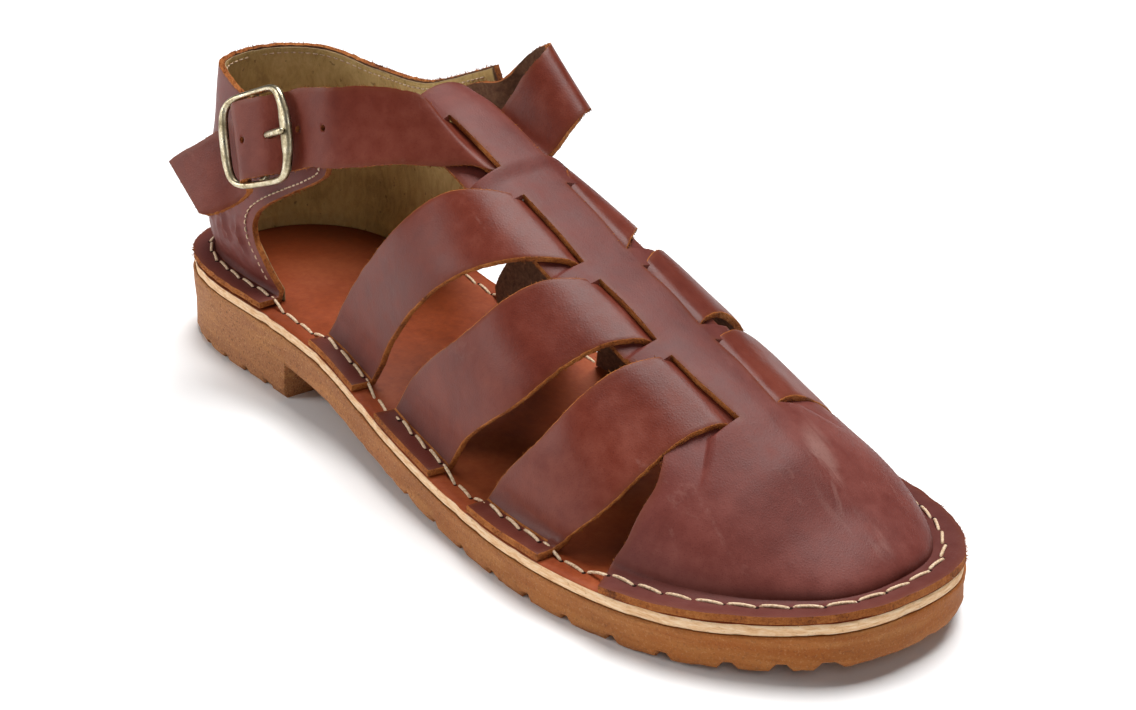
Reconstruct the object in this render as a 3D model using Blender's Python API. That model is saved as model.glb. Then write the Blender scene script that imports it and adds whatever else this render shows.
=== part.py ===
"""Fisherman sandal, right shoe, in metres: +X to the toe, +Y to the inner side, +Z up."""
import math

import bmesh
import bpy
import numpy as np

# Driving sizes, in metres
SOLE_LENGTH = 0.300
BALL_WIDTH = 0.104
FOREFOOT_THICKNESS = 0.0101
HEEL_RISE = 0.0114
TOE_SPRING = 0.0052
HEEL_BLOCK_LENGTH = 0.077
SOLE_EDGE_BEVEL = 0.0012
SOLE_WALL_STEP = 0.0036
HEEL_CORNER_RISE = 0.004
HEEL_CORNER_LENGTH = 0.007
LUG_GROOVE_WIDTH = 0.0045
LUG_GROOVE_DEPTH = 0.0025
LUG_GROOVE_SLANT = 0.0010
HEEL_LUG_PITCH = 0.0120
TOE_LUG_PITCH = 0.0150
INSOLE_THICKNESS = 0.0032
INSOLE_MARGIN = 0.0002
CLEARANCE = 0.0003
LEATHER = 0.0020
COUNTER_WALL = 0.0024
FEATHER_INSET = 0.0087
FLANGE_MARGIN = 0.0005
UPPER_HEIGHT = 0.0785
STRIP_WIDTH = 0.034
STRIP_MIDDLE_WIDTH = 0.015
SLIT_WIDTH = 0.0005
SLIT_RAMP_SHARE = 1.7
STRAP_BOND = 0.0007
INSTEP_SLOPE = 0.46
ANKLE_STRAP_WIDTH = 0.0225
ANKLE_SLIT_CLEARANCE = 0.0008
ANKLE_MARGIN_DROP = 0.0033
COUNTER_HEIGHT = 0.0885
WING_FLARE = 0.0065
WING_OVERLAP = 0.015
BUCKLE_LENGTH = 0.0292
BUCKLE_HEIGHT = 0.0278
BUCKLE_WIRE = 0.0013
BUCKLE_BAR = 0.0011
BUCKLE_BAR_DROP = 0.0031
BUCKLE_BAR_SWELL = 1.18
BUCKLE_SQUARENESS = 0.42
BUCKLE_BOW = 0.0016
BUCKLE_DROP = 0.0010
PRONG_WIRE = 0.00075
CHAPE_WIDTH = 0.0160
CHAPE_LEATHER = 0.0012
STRAP_HOLE = 0.0030
STRAP_HOLE_PITCH = 0.0150
STRAP_HOLE_STEPS = (-1, 0, 1, 2)
PRONG_HOLE_PLACE = 0.20
PRONG_HOLE_STRETCH = 0.0046

# Sole outline: station as a share of the length, outer and inner half as shares of the ball width
SOLE_OUTLINE = (
    (0.027, 0.240, 0.204),
    (0.093, 0.329, 0.337),
    (0.200, 0.349, 0.360),
    (0.333, 0.369, 0.324),
    (0.467, 0.435, 0.339),
    (0.600, 0.489, 0.425),
    (0.707, 0.5125, 0.478),
    (0.800, 0.4875, 0.485),
    (0.883, 0.416, 0.447),
    (0.950, 0.285, 0.344),
    (0.987, 0.160, 0.221),
)
TOE_POINT_SHARE = 0.058
TOE_SPRING_START = 0.783

# Heel rise of the footbed: length share, share of the rise
HEEL_RISE_CURVE = ((0.0, 1.0), (0.15, 1.0), (0.30, 0.876), (0.45, 0.407), (0.60, 0.045), (0.66, 0.0), (1.0, 0.0))

# Last over the instep: length share, crest share of the upper's height, side and top fullness
LAST_SECTIONS = (
    (0.333, 1.055, 1.05, 0.76),
    (0.367, 1.000, 0.98, 0.73),
    (0.450, 0.920, 0.82, 0.68),
    (0.533, 0.814, 0.70, 0.64),
    (0.617, 0.699, 0.75, 0.68),
    (0.700, 0.582, 0.97, 0.80),
    (0.783, 0.461, 1.22, 0.93),
    (0.860, 0.340, 1.30, 0.97),
    (0.920, 0.200, 1.30, 0.97),
    (1.000, 0.120, 1.30, 0.97),
)
CREST_LINE = ((0.333, 0.0), (0.667, 0.0), (0.867, 0.019), (0.970, 0.058))
TOE_ROUND_START = 0.860
CAP_SIDE_SHARES = (1.0, 0.985, 0.94, 0.86, 0.76, 0.65, 0.54, 0.43)

# Cross straps: slit ends and feet as length shares (rear and front edge), then the bends of both edges
CROSS_STRAPS = {
    "strap_rear": {"slit": (0.526, 0.608), "outer_foot": (0.309, 0.405), "inner_foot": (0.338, 0.447),
                   "bend": (-0.50, 0.50)},
    "strap_middle": {"slit": (0.635, 0.708), "outer_foot": (0.455, 0.563), "inner_foot": (0.487, 0.607),
                     "bend": (-0.85, 1.00)},
    "strap_front": {"slit": (0.732, 0.808), "outer_foot": (0.630, 0.733), "inner_foot": (0.645, 0.750),
                    "bend": (-0.80, 1.10)},
}
ANKLE_SLIT_CENTRE = 0.4517
STRIP_TOP_END = 0.372
STRIP_TOP_ROUND = 0.010
# Rear edge of the toe cap: share of the way from the strip's margin to the foot, length share
CAP_REAR_EDGE = ((0.0, 0.762), (0.22, 0.790), (0.45, 0.804), (0.75, 0.803), (1.0, 0.790))
CAP_FLANGE_SLANT = 0.0035
CAP_DIP_FADE = 3.5

# Heel counter: height share, bulge past the feather line at the back and at the side,
# then the front edge of the outer and of the inner wing as length shares
COUNTER_ROWS = (
    (0.00, 0.0000, 0.0000, 0.213, 0.225),
    (0.03, 0.0014, 0.0006, 0.209, 0.228),
    (0.09, 0.0029, 0.0014, 0.202, 0.235),
    (0.17, 0.0034, 0.0020, 0.191, 0.248),
    (0.26, 0.0031, 0.0022, 0.177, 0.265),
    (0.34, 0.0026, 0.0020, 0.172, 0.277),
    (0.42, 0.0020, 0.0016, 0.178, 0.287),
    (0.50, 0.0012, 0.0010, 0.194, 0.298),
    (0.58, 0.0004, 0.0003, 0.216, 0.312),
    (0.66, -0.0006, -0.0005, 0.243, 0.330),
    (0.74, -0.0014, -0.0013, 0.273, 0.347),
    (0.82, -0.0022, -0.0020, 0.297, 0.349),
    (0.91, -0.0030, -0.0026, 0.301, 0.343),
    (1.00, -0.0037, -0.0031, 0.299, 0.333),
)
COUNTER_BACK_CENTRE = 0.125
# Rim of the counter: length share, outer and inner rim as shares of the counter's height
COUNTER_RIM = (
    (0.020, 1.000, 1.000),
    (0.067, 0.996, 0.982),
    (0.133, 0.962, 0.947),
    (0.220, 0.935, 0.966),
    (0.267, 0.945, 1.018),
    (0.297, 0.958, 1.062),
    (0.340, 0.970, 1.125),
)

# Ankle strap between slit and wings: length share, width share, height share of the counter,
# and the direction across the strap
ANKLE_OUTER_RUN = (
    (0.4390, -0.115, 1.073, (-0.79, -0.04, 0.57)),
    (0.4190, -0.162, 1.088, (-0.61, 0.02, 0.79)),
    (0.3920, -0.223, 1.097, (-0.53, 0.09, 0.84)),
    (0.3690, -0.275, 1.087, (-0.38, 0.19, 0.91)),
    (0.3300, -0.317, 1.051, (-0.23, 0.19, 0.95)),
)
ANKLE_INNER_RUN = (
    (0.4580, 0.144, 1.110, (-0.87, 0.00, 0.50)),
    (0.4600, 0.221, 1.184, (-0.82, 0.00, 0.57)),
    (0.4380, 0.288, 1.160, (-0.66, -0.10, 0.75)),
    (0.4000, 0.318, 1.092, (-0.42, -0.12, 0.90)),
    (0.3660, 0.291, 1.000, (-0.24, -0.10, 0.96)),
)

# Buckle: middle of the frame as shares of length, ball width and counter height, and its directions
BUCKLE_PLACE = (0.2477, -0.388, 0.966)
BUCKLE_FORWARD = (0.940, 0.147, 0.308)
BUCKLE_UPWARD = (-0.329, 0.168, 0.924)
# Strap in the buckle: shares of the buckle's length forward, of its height up, metres outward, lean
STRAP_IN_BUCKLE = (
    (0.62, 0.00, -0.0025, 0.05),
    (0.50, 0.00, -0.0025, 0.03),
    (0.26, 0.00, 0.0003, 0.00),
    (0.00, -0.01, 0.0021, 0.00),
    (-0.25, -0.03, -0.0006, -0.05),
    (-0.42, -0.10, -0.0033, -0.12),
    (-0.55, -0.17, -0.0038, -0.18),
    (-0.85, -0.33, -0.0030, -0.26),
    (-1.22, -0.42, 0.0002, -0.63),
)

LEATHER_RED = (0.19, 0.045, 0.032, 1.0)
INSOLE_TAN = (0.38, 0.062, 0.014, 1.0)
RUBBER_HONEY = (0.40, 0.17, 0.055, 1.0)
BRASS = (0.48, 0.40, 0.22, 1.0)


def graded(x, stations, values):
    """Monotone curve through a table's columns, level outside its ends."""
    xs = np.asarray(stations, float)
    ys = np.asarray(values, float)
    x = np.clip(np.asarray(x, float), xs[0], xs[-1])
    run = np.diff(xs)
    slope = np.diff(ys) / run
    tangent = np.zeros(len(xs))
    same_way = slope[:-1] * slope[1:] > 0
    mean = 2.0 * slope[:-1] * slope[1:] / np.where(same_way, slope[:-1] + slope[1:], 1.0)
    tangent[1:-1] = np.where(same_way, mean, 0.0)
    tangent[0] = slope[0]
    tangent[-1] = slope[-1]
    i = np.clip(np.searchsorted(xs, x, side="right") - 1, 0, len(run) - 1)
    t = (x - xs[i]) / run[i]
    h00 = (1 + 2 * t) * (1 - t) ** 2
    h10 = t * (1 - t) ** 2
    h01 = t * t * (3 - 2 * t)
    h11 = t * t * (t - 1)
    return h00 * ys[i] + h10 * run[i] * tangent[i] + h01 * ys[i + 1] + h11 * run[i] * tangent[i + 1]


def column(table, index):
    return [row[index] for row in table]


def spline(points, count, closed=False):
    """Smooth curve with even bends through the points, read at evenly spaced places."""
    p = np.asarray(points, float)
    if closed:
        p = np.vstack([p, p[:1]])
    h = np.linalg.norm(np.diff(p, axis=0), axis=1)
    d = np.diff(p, axis=0) / h[:, None]
    n = len(p)
    matrix = np.zeros((n, n))
    right = np.zeros_like(p)
    for i in range(1, n - 1):
        matrix[i, i - 1:i + 2] = (h[i], 2 * (h[i - 1] + h[i]), h[i - 1])
        right[i] = 3 * (h[i] * d[i - 1] + h[i - 1] * d[i])
    if closed:
        matrix[0, 0], matrix[0, -1] = 1.0, -1.0
        matrix[-1, 0], matrix[-1, 1] = 2 * (h[-1] + h[0]), h[-1]
        matrix[-1, -2] = h[0]
        right[-1] = 3 * (h[0] * d[-1] + h[-1] * d[0])
    else:
        matrix[0, 0], matrix[0, 1], right[0] = 2.0, 1.0, 3 * d[0]
        matrix[-1, -1], matrix[-1, -2], right[-1] = 2.0, 1.0, 3 * d[-1]
    m = np.linalg.solve(matrix, right)
    knots = np.concatenate([[0.0], np.cumsum(h)])
    places = np.linspace(0.0, knots[-1], count, endpoint=not closed)
    i = np.clip(np.searchsorted(knots, places, side="right") - 1, 0, len(h) - 1)
    t = ((places - knots[i]) / h[i])[:, None]
    hi = h[i][:, None]
    return ((1 + 2 * t) * (1 - t) ** 2 * p[i] + t * (1 - t) ** 2 * hi * m[i]
            + t * t * (3 - 2 * t) * p[i + 1] + t * t * (t - 1) * hi * m[i + 1])


def unit(v):
    v = np.asarray(v, float)
    return v / np.linalg.norm(v)


# Outline of the sole and its outward directions, from the heel round the outer side and the toe
def sole_outline():
    outer = [(s * SOLE_LENGTH, -o * BALL_WIDTH) for s, o, _ in SOLE_OUTLINE]
    inner = [(s * SOLE_LENGTH, i * BALL_WIDTH) for s, _, i in SOLE_OUTLINE]
    toe = [(SOLE_LENGTH, TOE_POINT_SHARE * BALL_WIDTH)]
    loop = spline([(0.0, 0.0)] + outer + toe + inner[::-1], 1440, closed=True)
    along = np.roll(loop, -1, axis=0) - np.roll(loop, 1, axis=0)
    along /= np.linalg.norm(along, axis=1)[:, None]
    return loop, np.column_stack([along[:, 1], -along[:, 0]])


OUTLINE, OUTWARD = sole_outline()
OUTER, INNER = -1, 1


def edge_at(x, side, inset=0.0):
    """Place and outward direction of the outline, moved in by inset, where it passes x."""
    loop = OUTLINE - OUTWARD * inset
    start = int(np.argmin(loop[:, 0]))
    loop = np.roll(loop, -start, axis=0)
    out = np.roll(OUTWARD, -start, axis=0)
    turn = int(np.argmax(loop[:, 0]))
    if side == INNER:
        loop = np.vstack([loop[:1], loop[turn:][::-1]])
        out = np.vstack([out[:1], out[turn:][::-1]])
    else:
        loop, out = loop[:turn + 1], out[:turn + 1]
    order = np.argsort(loop[:, 0], kind="stable")
    loop, out = loop[order], out[order]
    x = np.clip(np.asarray(x, float), loop[0, 0], loop[-1, 0])
    y = np.interp(x, loop[:, 0], loop[:, 1])
    nx = np.interp(x, loop[:, 0], out[:, 0])
    ny = np.interp(x, loop[:, 0], out[:, 1])
    size = np.hypot(nx, ny)
    return x, y, nx / size, ny / size


def outline_reach(inset):
    loop = OUTLINE - OUTWARD * inset
    return float(loop[:, 0].min()), float(loop[:, 0].max())


def even_turns(count):
    """Stations from heel to toe, closer together where the outline turns."""
    low, high = outline_reach(0.0)
    return low + (high - low) * (1 - np.cos(np.linspace(0.0, math.pi, count))) / 2


def rubber_top(x):
    share = np.asarray(x, float) / SOLE_LENGTH
    rise = graded(share, column(HEEL_RISE_CURVE, 0), column(HEEL_RISE_CURVE, 1))
    spring = np.clip((share - TOE_SPRING_START) / (1 - TOE_SPRING_START), 0, 1) ** 2
    return FOREFOOT_THICKNESS + HEEL_RISE * rise + TOE_SPRING * spring


def insole_top(x):
    return rubber_top(x) + CLEARANCE + INSOLE_THICKNESS


def flange_top(x, leather=LEATHER):
    return insole_top(x) + CLEARANCE + leather


def finish(obj, material, smooth_angle=40.0):
    """Give a piece its material and shade its round parts smooth."""
    obj.data.materials.append(material)
    obj.data.shade_smooth()
    obj.data.set_sharp_from_angle(angle=math.radians(smooth_angle))
    return obj


def add_object(name, bm):
    mesh = bpy.data.meshes.new(name)
    bm.to_mesh(mesh)
    bm.free()
    obj = bpy.data.objects.new(name, mesh)
    bpy.context.scene.collection.objects.link(obj)
    return obj


def loft(name, rings):
    """Closed body through rings of points; its first and last ring close on themselves."""
    bm = bmesh.new()
    rows = [[bm.verts.new(p) for p in ring] for ring in rings]
    size = len(rings[0])
    for a, b in zip(rows[:-1], rows[1:]):
        for k in range(size):
            m = (k + 1) % size
            bm.faces.new((a[k], a[m], b[m], b[k]))
    bmesh.ops.remove_doubles(bm, verts=bm.verts, dist=0.00002)
    bmesh.ops.dissolve_degenerate(bm, dist=0.00001, edges=bm.edges)
    bmesh.ops.recalc_face_normals(bm, faces=bm.faces)
    return add_object(name, bm)


def sheet(name, grid, thickness, skip=(), offset=-1.0):
    """Leather of one thickness on a grid of points; cells named in skip stay open."""
    rows, columns = len(grid), len(grid[0])
    bm = bmesh.new()
    verts = [[bm.verts.new(grid[i][j]) if grid[i][j] is not None else None for j in range(columns)]
             for i in range(rows)]
    for i in range(rows - 1):
        for j in range(columns - 1):
            corners = (verts[i][j], verts[i + 1][j], verts[i + 1][j + 1], verts[i][j + 1])
            if (i, j) not in skip and None not in corners:
                bm.faces.new(corners)
    bmesh.ops.remove_doubles(bm, verts=bm.verts, dist=0.00002)
    loose = [v for v in bm.verts if not v.link_faces]
    bmesh.ops.delete(bm, geom=loose, context="VERTS")
    obj = add_object(name, bm)
    wall = obj.modifiers.new("leather", "SOLIDIFY")
    wall.thickness = thickness
    wall.offset = offset
    wall.use_quality_normals = True
    obj.modifiers.new("flat_faces", "TRIANGULATE")
    return obj


def combine(obj, tool, operation):
    step = obj.modifiers.new(operation.lower() + "_" + tool.name, "BOOLEAN")
    step.operation = operation
    step.solver = "EXACT"
    step.object = tool
    tool.hide_render = True
    tool.display_type = "WIRE"


# Sole
def lug_groove_starts():
    heel = np.arange(0.015, HEEL_BLOCK_LENGTH - LUG_GROOVE_WIDTH * 1.5, HEEL_LUG_PITCH)
    tread = np.arange(0.51, 0.95, TOE_LUG_PITCH / SOLE_LENGTH) * SOLE_LENGTH
    return list(heel) + list(tread)


def sole_stations():
    """Stations along the sole with the height of its underside at each."""
    stations = []
    breast = HEEL_BLOCK_LENGTH
    for x in even_turns(41):
        near_groove = any(g - 0.0016 < x < g + LUG_GROOVE_WIDTH + 0.0016 for g in lug_groove_starts())
        near_breast = abs(x - breast) < 0.003
        if not near_groove and not near_breast:
            stations.append((x, 0.0))
    for g in lug_groove_starts():
        stations.append((g, 0.0))
        stations.append((g + LUG_GROOVE_SLANT, LUG_GROOVE_DEPTH))
        stations.append((g + LUG_GROOVE_WIDTH - LUG_GROOVE_SLANT, LUG_GROOVE_DEPTH))
        stations.append((g + LUG_GROOVE_WIDTH, 0.0))
    stations.append((breast - 0.0012, 0.0))
    stations.append((breast, 0.0))
    return sorted(stations)


def sole_underside(x):
    heel_corner = HEEL_CORNER_RISE * np.clip(1 - x / HEEL_CORNER_LENGTH, 0, 1) ** 2
    if x < HEEL_BLOCK_LENGTH - 0.0006:
        return float(heel_corner)
    return float(rubber_top(x) - FOREFOOT_THICKNESS)


def build_outsole(material):
    rings = []
    for x, cut in sole_stations():
        bottom = sole_underside(x)
        low = bottom + cut
        step = bottom + SOLE_WALL_STEP
        sides = []
        for side in (OUTER, INNER):
            ex, ey, nx, ny = (float(v) for v in edge_at(x, side))
            bx, by = ex - nx * SOLE_EDGE_BEVEL, ey - ny * SOLE_EDGE_BEVEL
            sides.append([(ex, ey, float(rubber_top(ex))), (ex, ey, step), (bx, by, low)])
        outer, inner = sides
        rings.append([outer[0], outer[1], outer[2], inner[2], inner[1], inner[0]])
    return finish(loft("outsole", rings), material)


def build_insole(material):
    rings = []
    for x in even_turns(45):
        corners = []
        for side in (OUTER, INNER):
            ex, ey, nx, ny = (float(v) for v in edge_at(x, side))
            ex, ey = ex - nx * INSOLE_MARGIN, ey - ny * INSOLE_MARGIN
            top = float(insole_top(ex))
            corners.append([(ex, ey, top), (ex, ey, top - INSOLE_THICKNESS)])
        outer, inner = corners
        rings.append([outer[0], outer[1], inner[1], inner[0]])
    return finish(loft("insole", rings), material)


# Last over the instep
def last_point(x, across):
    """Outer face of the straps; across runs from -1, outer feather line, to 1, inner one."""
    x, across = np.broadcast_arrays(np.asarray(x, float), np.asarray(across, float))
    low, high = outline_reach(FEATHER_INSET)
    x = np.clip(x, low, high)
    share = x / SOLE_LENGTH
    crest, side_full, top_full = (graded(share, column(LAST_SECTIONS, 0), column(LAST_SECTIONS, k))
                                  for k in (1, 2, 3))
    nose_start = TOE_ROUND_START * SOLE_LENGTH
    nose = np.clip((x - nose_start) / (high - nose_start), 0, 1)
    height = UPPER_HEIGHT * crest * np.sqrt(np.clip(1 - nose ** 2, 0, 1))
    angle = (1 - np.abs(across)) * math.pi / 2
    outer = edge_at(x, OUTER, FEATHER_INSET)[1]
    inner = edge_at(x, INNER, FEATHER_INSET)[1]
    middle = np.clip(crest_line(x), outer, inner)
    half = np.where(across < 0, outer, inner) - middle
    y = middle + half * np.clip(np.cos(angle), 0, 1) ** side_full
    z = flange_top(x) + height * np.clip(np.sin(angle), 0, 1) ** top_full
    return np.stack([x, y, z], -1)


def crest_line(x):
    share = np.asarray(x, float) / SOLE_LENGTH
    return BALL_WIDTH * graded(share, column(CREST_LINE, 0), column(CREST_LINE, 1))


def across_for(x, y):
    """Share across the last where its face stands at y."""
    side = OUTER if y < 0 else INNER
    side_full = graded(x / SOLE_LENGTH, column(LAST_SECTIONS, 0), column(LAST_SECTIONS, 2))
    half = edge_at(x, side, FEATHER_INSET)[1] - crest_line(x)
    reach = np.clip((y - crest_line(x)) / half, 0.0, 1.0)
    return float(side * (1 - math.acos(float(reach) ** (1 / float(side_full))) / (math.pi / 2)))


def last_normal(x, across):
    dx, da = 0.0004, 0.01
    low_a, high_a = max(across - da, -1.0), min(across + da, 1.0)
    along = last_point(x + dx, across) - last_point(x - dx, across)
    over = last_point(x, high_a) - last_point(x, low_a)
    return unit(np.cross(along, over))


def raised_point(x, across, lift):
    place = last_point(x, across)
    return place + last_normal(x, across) * lift if lift else place


def flange_points(x, side, leather, foot_x=None):
    """Turned-out edge on the insole, from its rim to the feather line."""
    reach = FEATHER_INSET - FLANGE_MARGIN
    fx, fy, nx, ny = (float(v) for v in edge_at(x, side, FEATHER_INSET))
    shift = 0.0 if foot_x is None else foot_x - x
    points = []
    for part in (1.0, 0.55, 0.16):
        px = fx + nx * reach * part + shift * part
        py = fy + ny * reach * part
        points.append((px, py, float(flange_top(min(px, SOLE_LENGTH), leather))))
    return points


# Centre strip and toe cap
def crossings():
    """Slit ranges along the strip, with the rise of its middle and the drop of its margins."""
    half = ANKLE_STRAP_WIDTH / 2 + 2 * ANKLE_SLIT_CLEARANCE
    slope = math.cos(math.atan(INSTEP_SLOPE))
    centre = ANKLE_SLIT_CENTRE * SOLE_LENGTH
    rows = [(centre - half * slope, centre + half * slope, LEATHER + CLEARANCE, ANKLE_MARGIN_DROP)]
    for strap in CROSS_STRAPS.values():
        start, end = strap["slit"]
        bonded = LEATHER - STRAP_BOND
        rows.append((start * SOLE_LENGTH, end * SOLE_LENGTH, bonded, bonded))
    return rows


def strip_lift(x, is_middle):
    for start, end, rise, drop in crossings():
        ramp = rise * SLIT_RAMP_SHARE
        ramp_in = (x - start + ramp) / ramp
        ramp_out = (end + ramp - x) / ramp
        share = min(1.0, ramp_in, ramp_out)
        if share > 0:
            return (rise if is_middle else -drop) * share * share * (3 - 2 * share)
    return 0.0


def strip_rows():
    """Stations down the strip: four at each end of a slit and a few between."""
    rows = [STRIP_TOP_END * SOLE_LENGTH + d for d in (0.0, 0.0012, 0.0035, 0.0065)]
    for start, end, rise, _ in crossings():
        ramp = rise * SLIT_RAMP_SHARE
        rows += [start - ramp, start - ramp / 2, start, (2 * start + end) / 3,
                 (start + 2 * end) / 3, end, end + ramp / 2, end + ramp]
    return sorted(rows)


def strip_half_width(x):
    top = STRIP_TOP_END * SOLE_LENGTH
    into = (x - top) / STRIP_TOP_ROUND
    if into >= 1:
        return STRIP_WIDTH / 2
    return STRIP_WIDTH / 2 * (0.55 + 0.45 * math.sqrt(1 - (1 - into) ** 2))


def build_vamp():
    """Centre strip and toe cap, one sheet with pairs of slits."""
    middle = STRIP_MIDDLE_WIDTH / 2
    half_slit = SLIT_WIDTH / 2
    margin_y = [STRIP_WIDTH / 2, (STRIP_WIDTH / 2 + middle) / 2, middle + half_slit]
    strip_y = [-y for y in margin_y] + [-middle + half_slit, -middle * 0.5, 0.0, middle * 0.5,
                                        middle - half_slit] + margin_y[::-1]
    lead = 3 + len(CAP_SIDE_SHARES)
    columns = lead + len(strip_y) + lead
    is_middle = range(lead + 3, lead + 8)
    grid, slit_cells = [], set()
    rows = [x for x in strip_rows() if x < cap_edge(0.0) - 0.0008]
    for x in rows:
        scale = min(1.0, strip_half_width(x) / (STRIP_WIDTH / 2))
        line = [None] * columns
        for k, y in enumerate(strip_y):
            lift = strip_lift(x, lead + k in is_middle)
            line[lead + k] = raised_point(x, across_for(x, y * scale), lift)
        grid.append(line)
    strip_across = [across_for(cap_edge(0.0), y) for y in strip_y]
    shares = [-s for s in CAP_SIDE_SHARES] + strip_across + list(CAP_SIDE_SHARES[::-1])
    nose_x = outline_reach(FEATHER_INSET)[1]
    for x in cap_rows(nose_x):
        step = (x - cap_edge(0.0)) / (nose_x - cap_edge(0.0))
        line = []
        for k, across in enumerate(shares):
            out = max(0.0, (abs(across) - abs(strip_across[0])) / (1 - abs(strip_across[0])))
            rear = cap_edge(out)
            lift = strip_lift(x, 3 + k in is_middle) * max(0.0, 1 - out * CAP_DIP_FADE)
            line.append(raised_point(rear + (nose_x - rear) * step, across, lift))
        foot_x = cap_edge(1.0) + (nose_x - cap_edge(1.0)) * step
        slant = CAP_FLANGE_SLANT * (1 - step) ** 4
        outer = flange_points(foot_x, OUTER, LEATHER, foot_x + slant)
        inner = flange_points(foot_x, INNER, LEATHER, foot_x + slant)
        grid.append(outer + line + inner[::-1])
    rows += cap_rows(nose_x)
    for start, end, rise, _ in crossings():
        ramp = rise * SLIT_RAMP_SHARE
        for i, x in enumerate(rows[:-1]):
            if start - ramp - 0.0001 < x < end + ramp - 0.0001:
                slit_cells.add((i, lead + 2))
                slit_cells.add((i, lead + 7))
    return sheet("upper", grid, LEATHER, slit_cells)


def cap_edge(out):
    """Rear edge of the toe cap, from the strip's margin at 0 to the foot at 1."""
    return SOLE_LENGTH * float(graded(out, column(CAP_REAR_EDGE, 0), column(CAP_REAR_EDGE, 1)))


def cap_rows(nose_x):
    """Stations down the middle of the cap, with the end of the last slit among them."""
    _, slit_end, rise, _ = crossings()[-1]
    ramp = rise * SLIT_RAMP_SHARE
    start = cap_edge(0.0)
    rows = [start, (2 * start + slit_end) / 3, (start + 2 * slit_end) / 3, slit_end,
            slit_end + ramp / 2, slit_end + ramp]
    steps = np.linspace(0.0, 1.0, 10)[1:]
    return rows + list(rows[-1] + (nose_x - rows[-1]) * (1 - (1 - steps) ** 2))


def strap_edge(slit_x, foot_x, bend, share):
    first, second = bend
    reach = share + first * share * (1 - share) + second * share * (1 - share) * (1 - 2 * share)
    return slit_x + (foot_x - slit_x) * reach


def build_cross_strap(name, sizes):
    """Strap from foot to foot, turned out at both feet, under the strip's middle."""
    middle = STRIP_MIDDLE_WIDTH / 2
    steps = np.linspace(0.0, 1.0, 13)
    grid = []
    for k in range(5):
        over = k / 4
        slit_x = SOLE_LENGTH * (sizes["slit"][0] * (1 - over) + sizes["slit"][1] * over)
        line = []
        for side, foot_name in ((OUTER, "outer_foot"), (INNER, "inner_foot")):
            foot = sizes[foot_name]
            foot_x = SOLE_LENGTH * (foot[0] * (1 - over) + foot[1] * over)
            start = across_for(slit_x, side * middle)
            leg = [last_point(slit_x, across_for(slit_x, side * middle / 2))]
            for share in steps:
                x = strap_edge(slit_x, foot_x, sizes["bend"], float(share))
                leg.append(last_point(x, start + (side - start) * float(share)))
            leg += flange_points(foot_x, side, LEATHER)[::-1]
            line.append(leg)
        outer, inner = line
        grid.append(outer[::-1] + [last_point(slit_x, 0.0)] + inner)
    return sheet(name, grid, LEATHER)


def build_upper(material):
    upper = build_vamp()
    for name, sizes in CROSS_STRAPS.items():
        combine(upper, build_cross_strap(name, sizes), "UNION")
    return finish(upper, material)


# Heel counter
def rim_height(x, side):
    index = 1 if side == OUTER else 2
    return COUNTER_HEIGHT * graded(np.asarray(x) / SOLE_LENGTH, column(COUNTER_RIM, 0), column(COUNTER_RIM, index))


def counter_point(height, turn, side):
    """Outer face of the counter: turn is 0 at the back and past a quarter turn on the wings."""
    low = outline_reach(FEATHER_INSET)[0]
    centre = COUNTER_BACK_CENTRE * SOLE_LENGTH
    radius = centre - low
    quarter = math.pi / 2
    x = centre - radius * math.cos(turn) if turn < quarter else centre + radius * (turn - quarter)
    back, flank = (float(graded(height, column(COUNTER_ROWS, 0), column(COUNTER_ROWS, k))) for k in (1, 2))
    weight = math.sin(min(turn, quarter)) ** 2
    bulge = back * (1 - weight) + flank * weight
    if side == INNER:
        forward = np.clip((x - 0.2 * SOLE_LENGTH) / (0.13 * SOLE_LENGTH), 0, 1)
        bulge += WING_FLARE * float(forward) * height
    fx, fy, nx, ny = (float(v) for v in edge_at(x, side, FEATHER_INSET))
    base = float(flange_top(fx, COUNTER_WALL))
    rim = float(rim_height(fx, side))
    return np.array([fx + nx * bulge, fy + ny * bulge, base + (rim - base) * height])


def counter_front(height, side):
    index = 3 if side == OUTER else 4
    front_x = SOLE_LENGTH * float(graded(height, column(COUNTER_ROWS, 0), column(COUNTER_ROWS, index)))
    return turn_for(front_x)


def turn_for(x):
    low = outline_reach(FEATHER_INSET)[0]
    centre = COUNTER_BACK_CENTRE * SOLE_LENGTH
    return math.pi / 2 + (x - centre) / (centre - low)


def wing_face(x, z, side, lift):
    """Point beside a wing, lift outward of its outer face."""
    base = float(flange_top(x, COUNTER_WALL))
    height = (z - base) / (float(rim_height(x, side)) - base)
    point = counter_point(float(np.clip(height, 0.0, 1.0)), turn_for(x), side)
    return np.array([x, point[1] + side * lift, z])


def build_counter(material):
    grid = []
    shares = np.linspace(-1.0, 1.0, 27)
    for share in shares:
        side = OUTER if share < 0 else INNER
        line = []
        for height in column(COUNTER_ROWS, 0)[::-1]:
            line.append(counter_point(height, abs(share) * counter_front(height, side), side))
        turn = abs(share) * counter_front(0.0, side)
        foot = counter_point(0.0, turn, side)
        line += flange_points(float(foot[0]), side, COUNTER_WALL)[::-1]
        grid.append(line)
    return finish(sheet("heel_counter", grid, COUNTER_WALL), material)


# Ankle strap
def ribbon_edges(stations, width, count):
    """Two long edges through stations of middle point and direction across."""
    both = spline([np.concatenate([c, unit(d) * width / 2]) for c, d in stations], count)
    return both[:, :3] + both[:, 3:], both[:, :3] - both[:, 3:]


def scaled(place):
    return np.array([place[0] * SOLE_LENGTH, place[1] * BALL_WIDTH, place[2] * COUNTER_HEIGHT])


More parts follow.
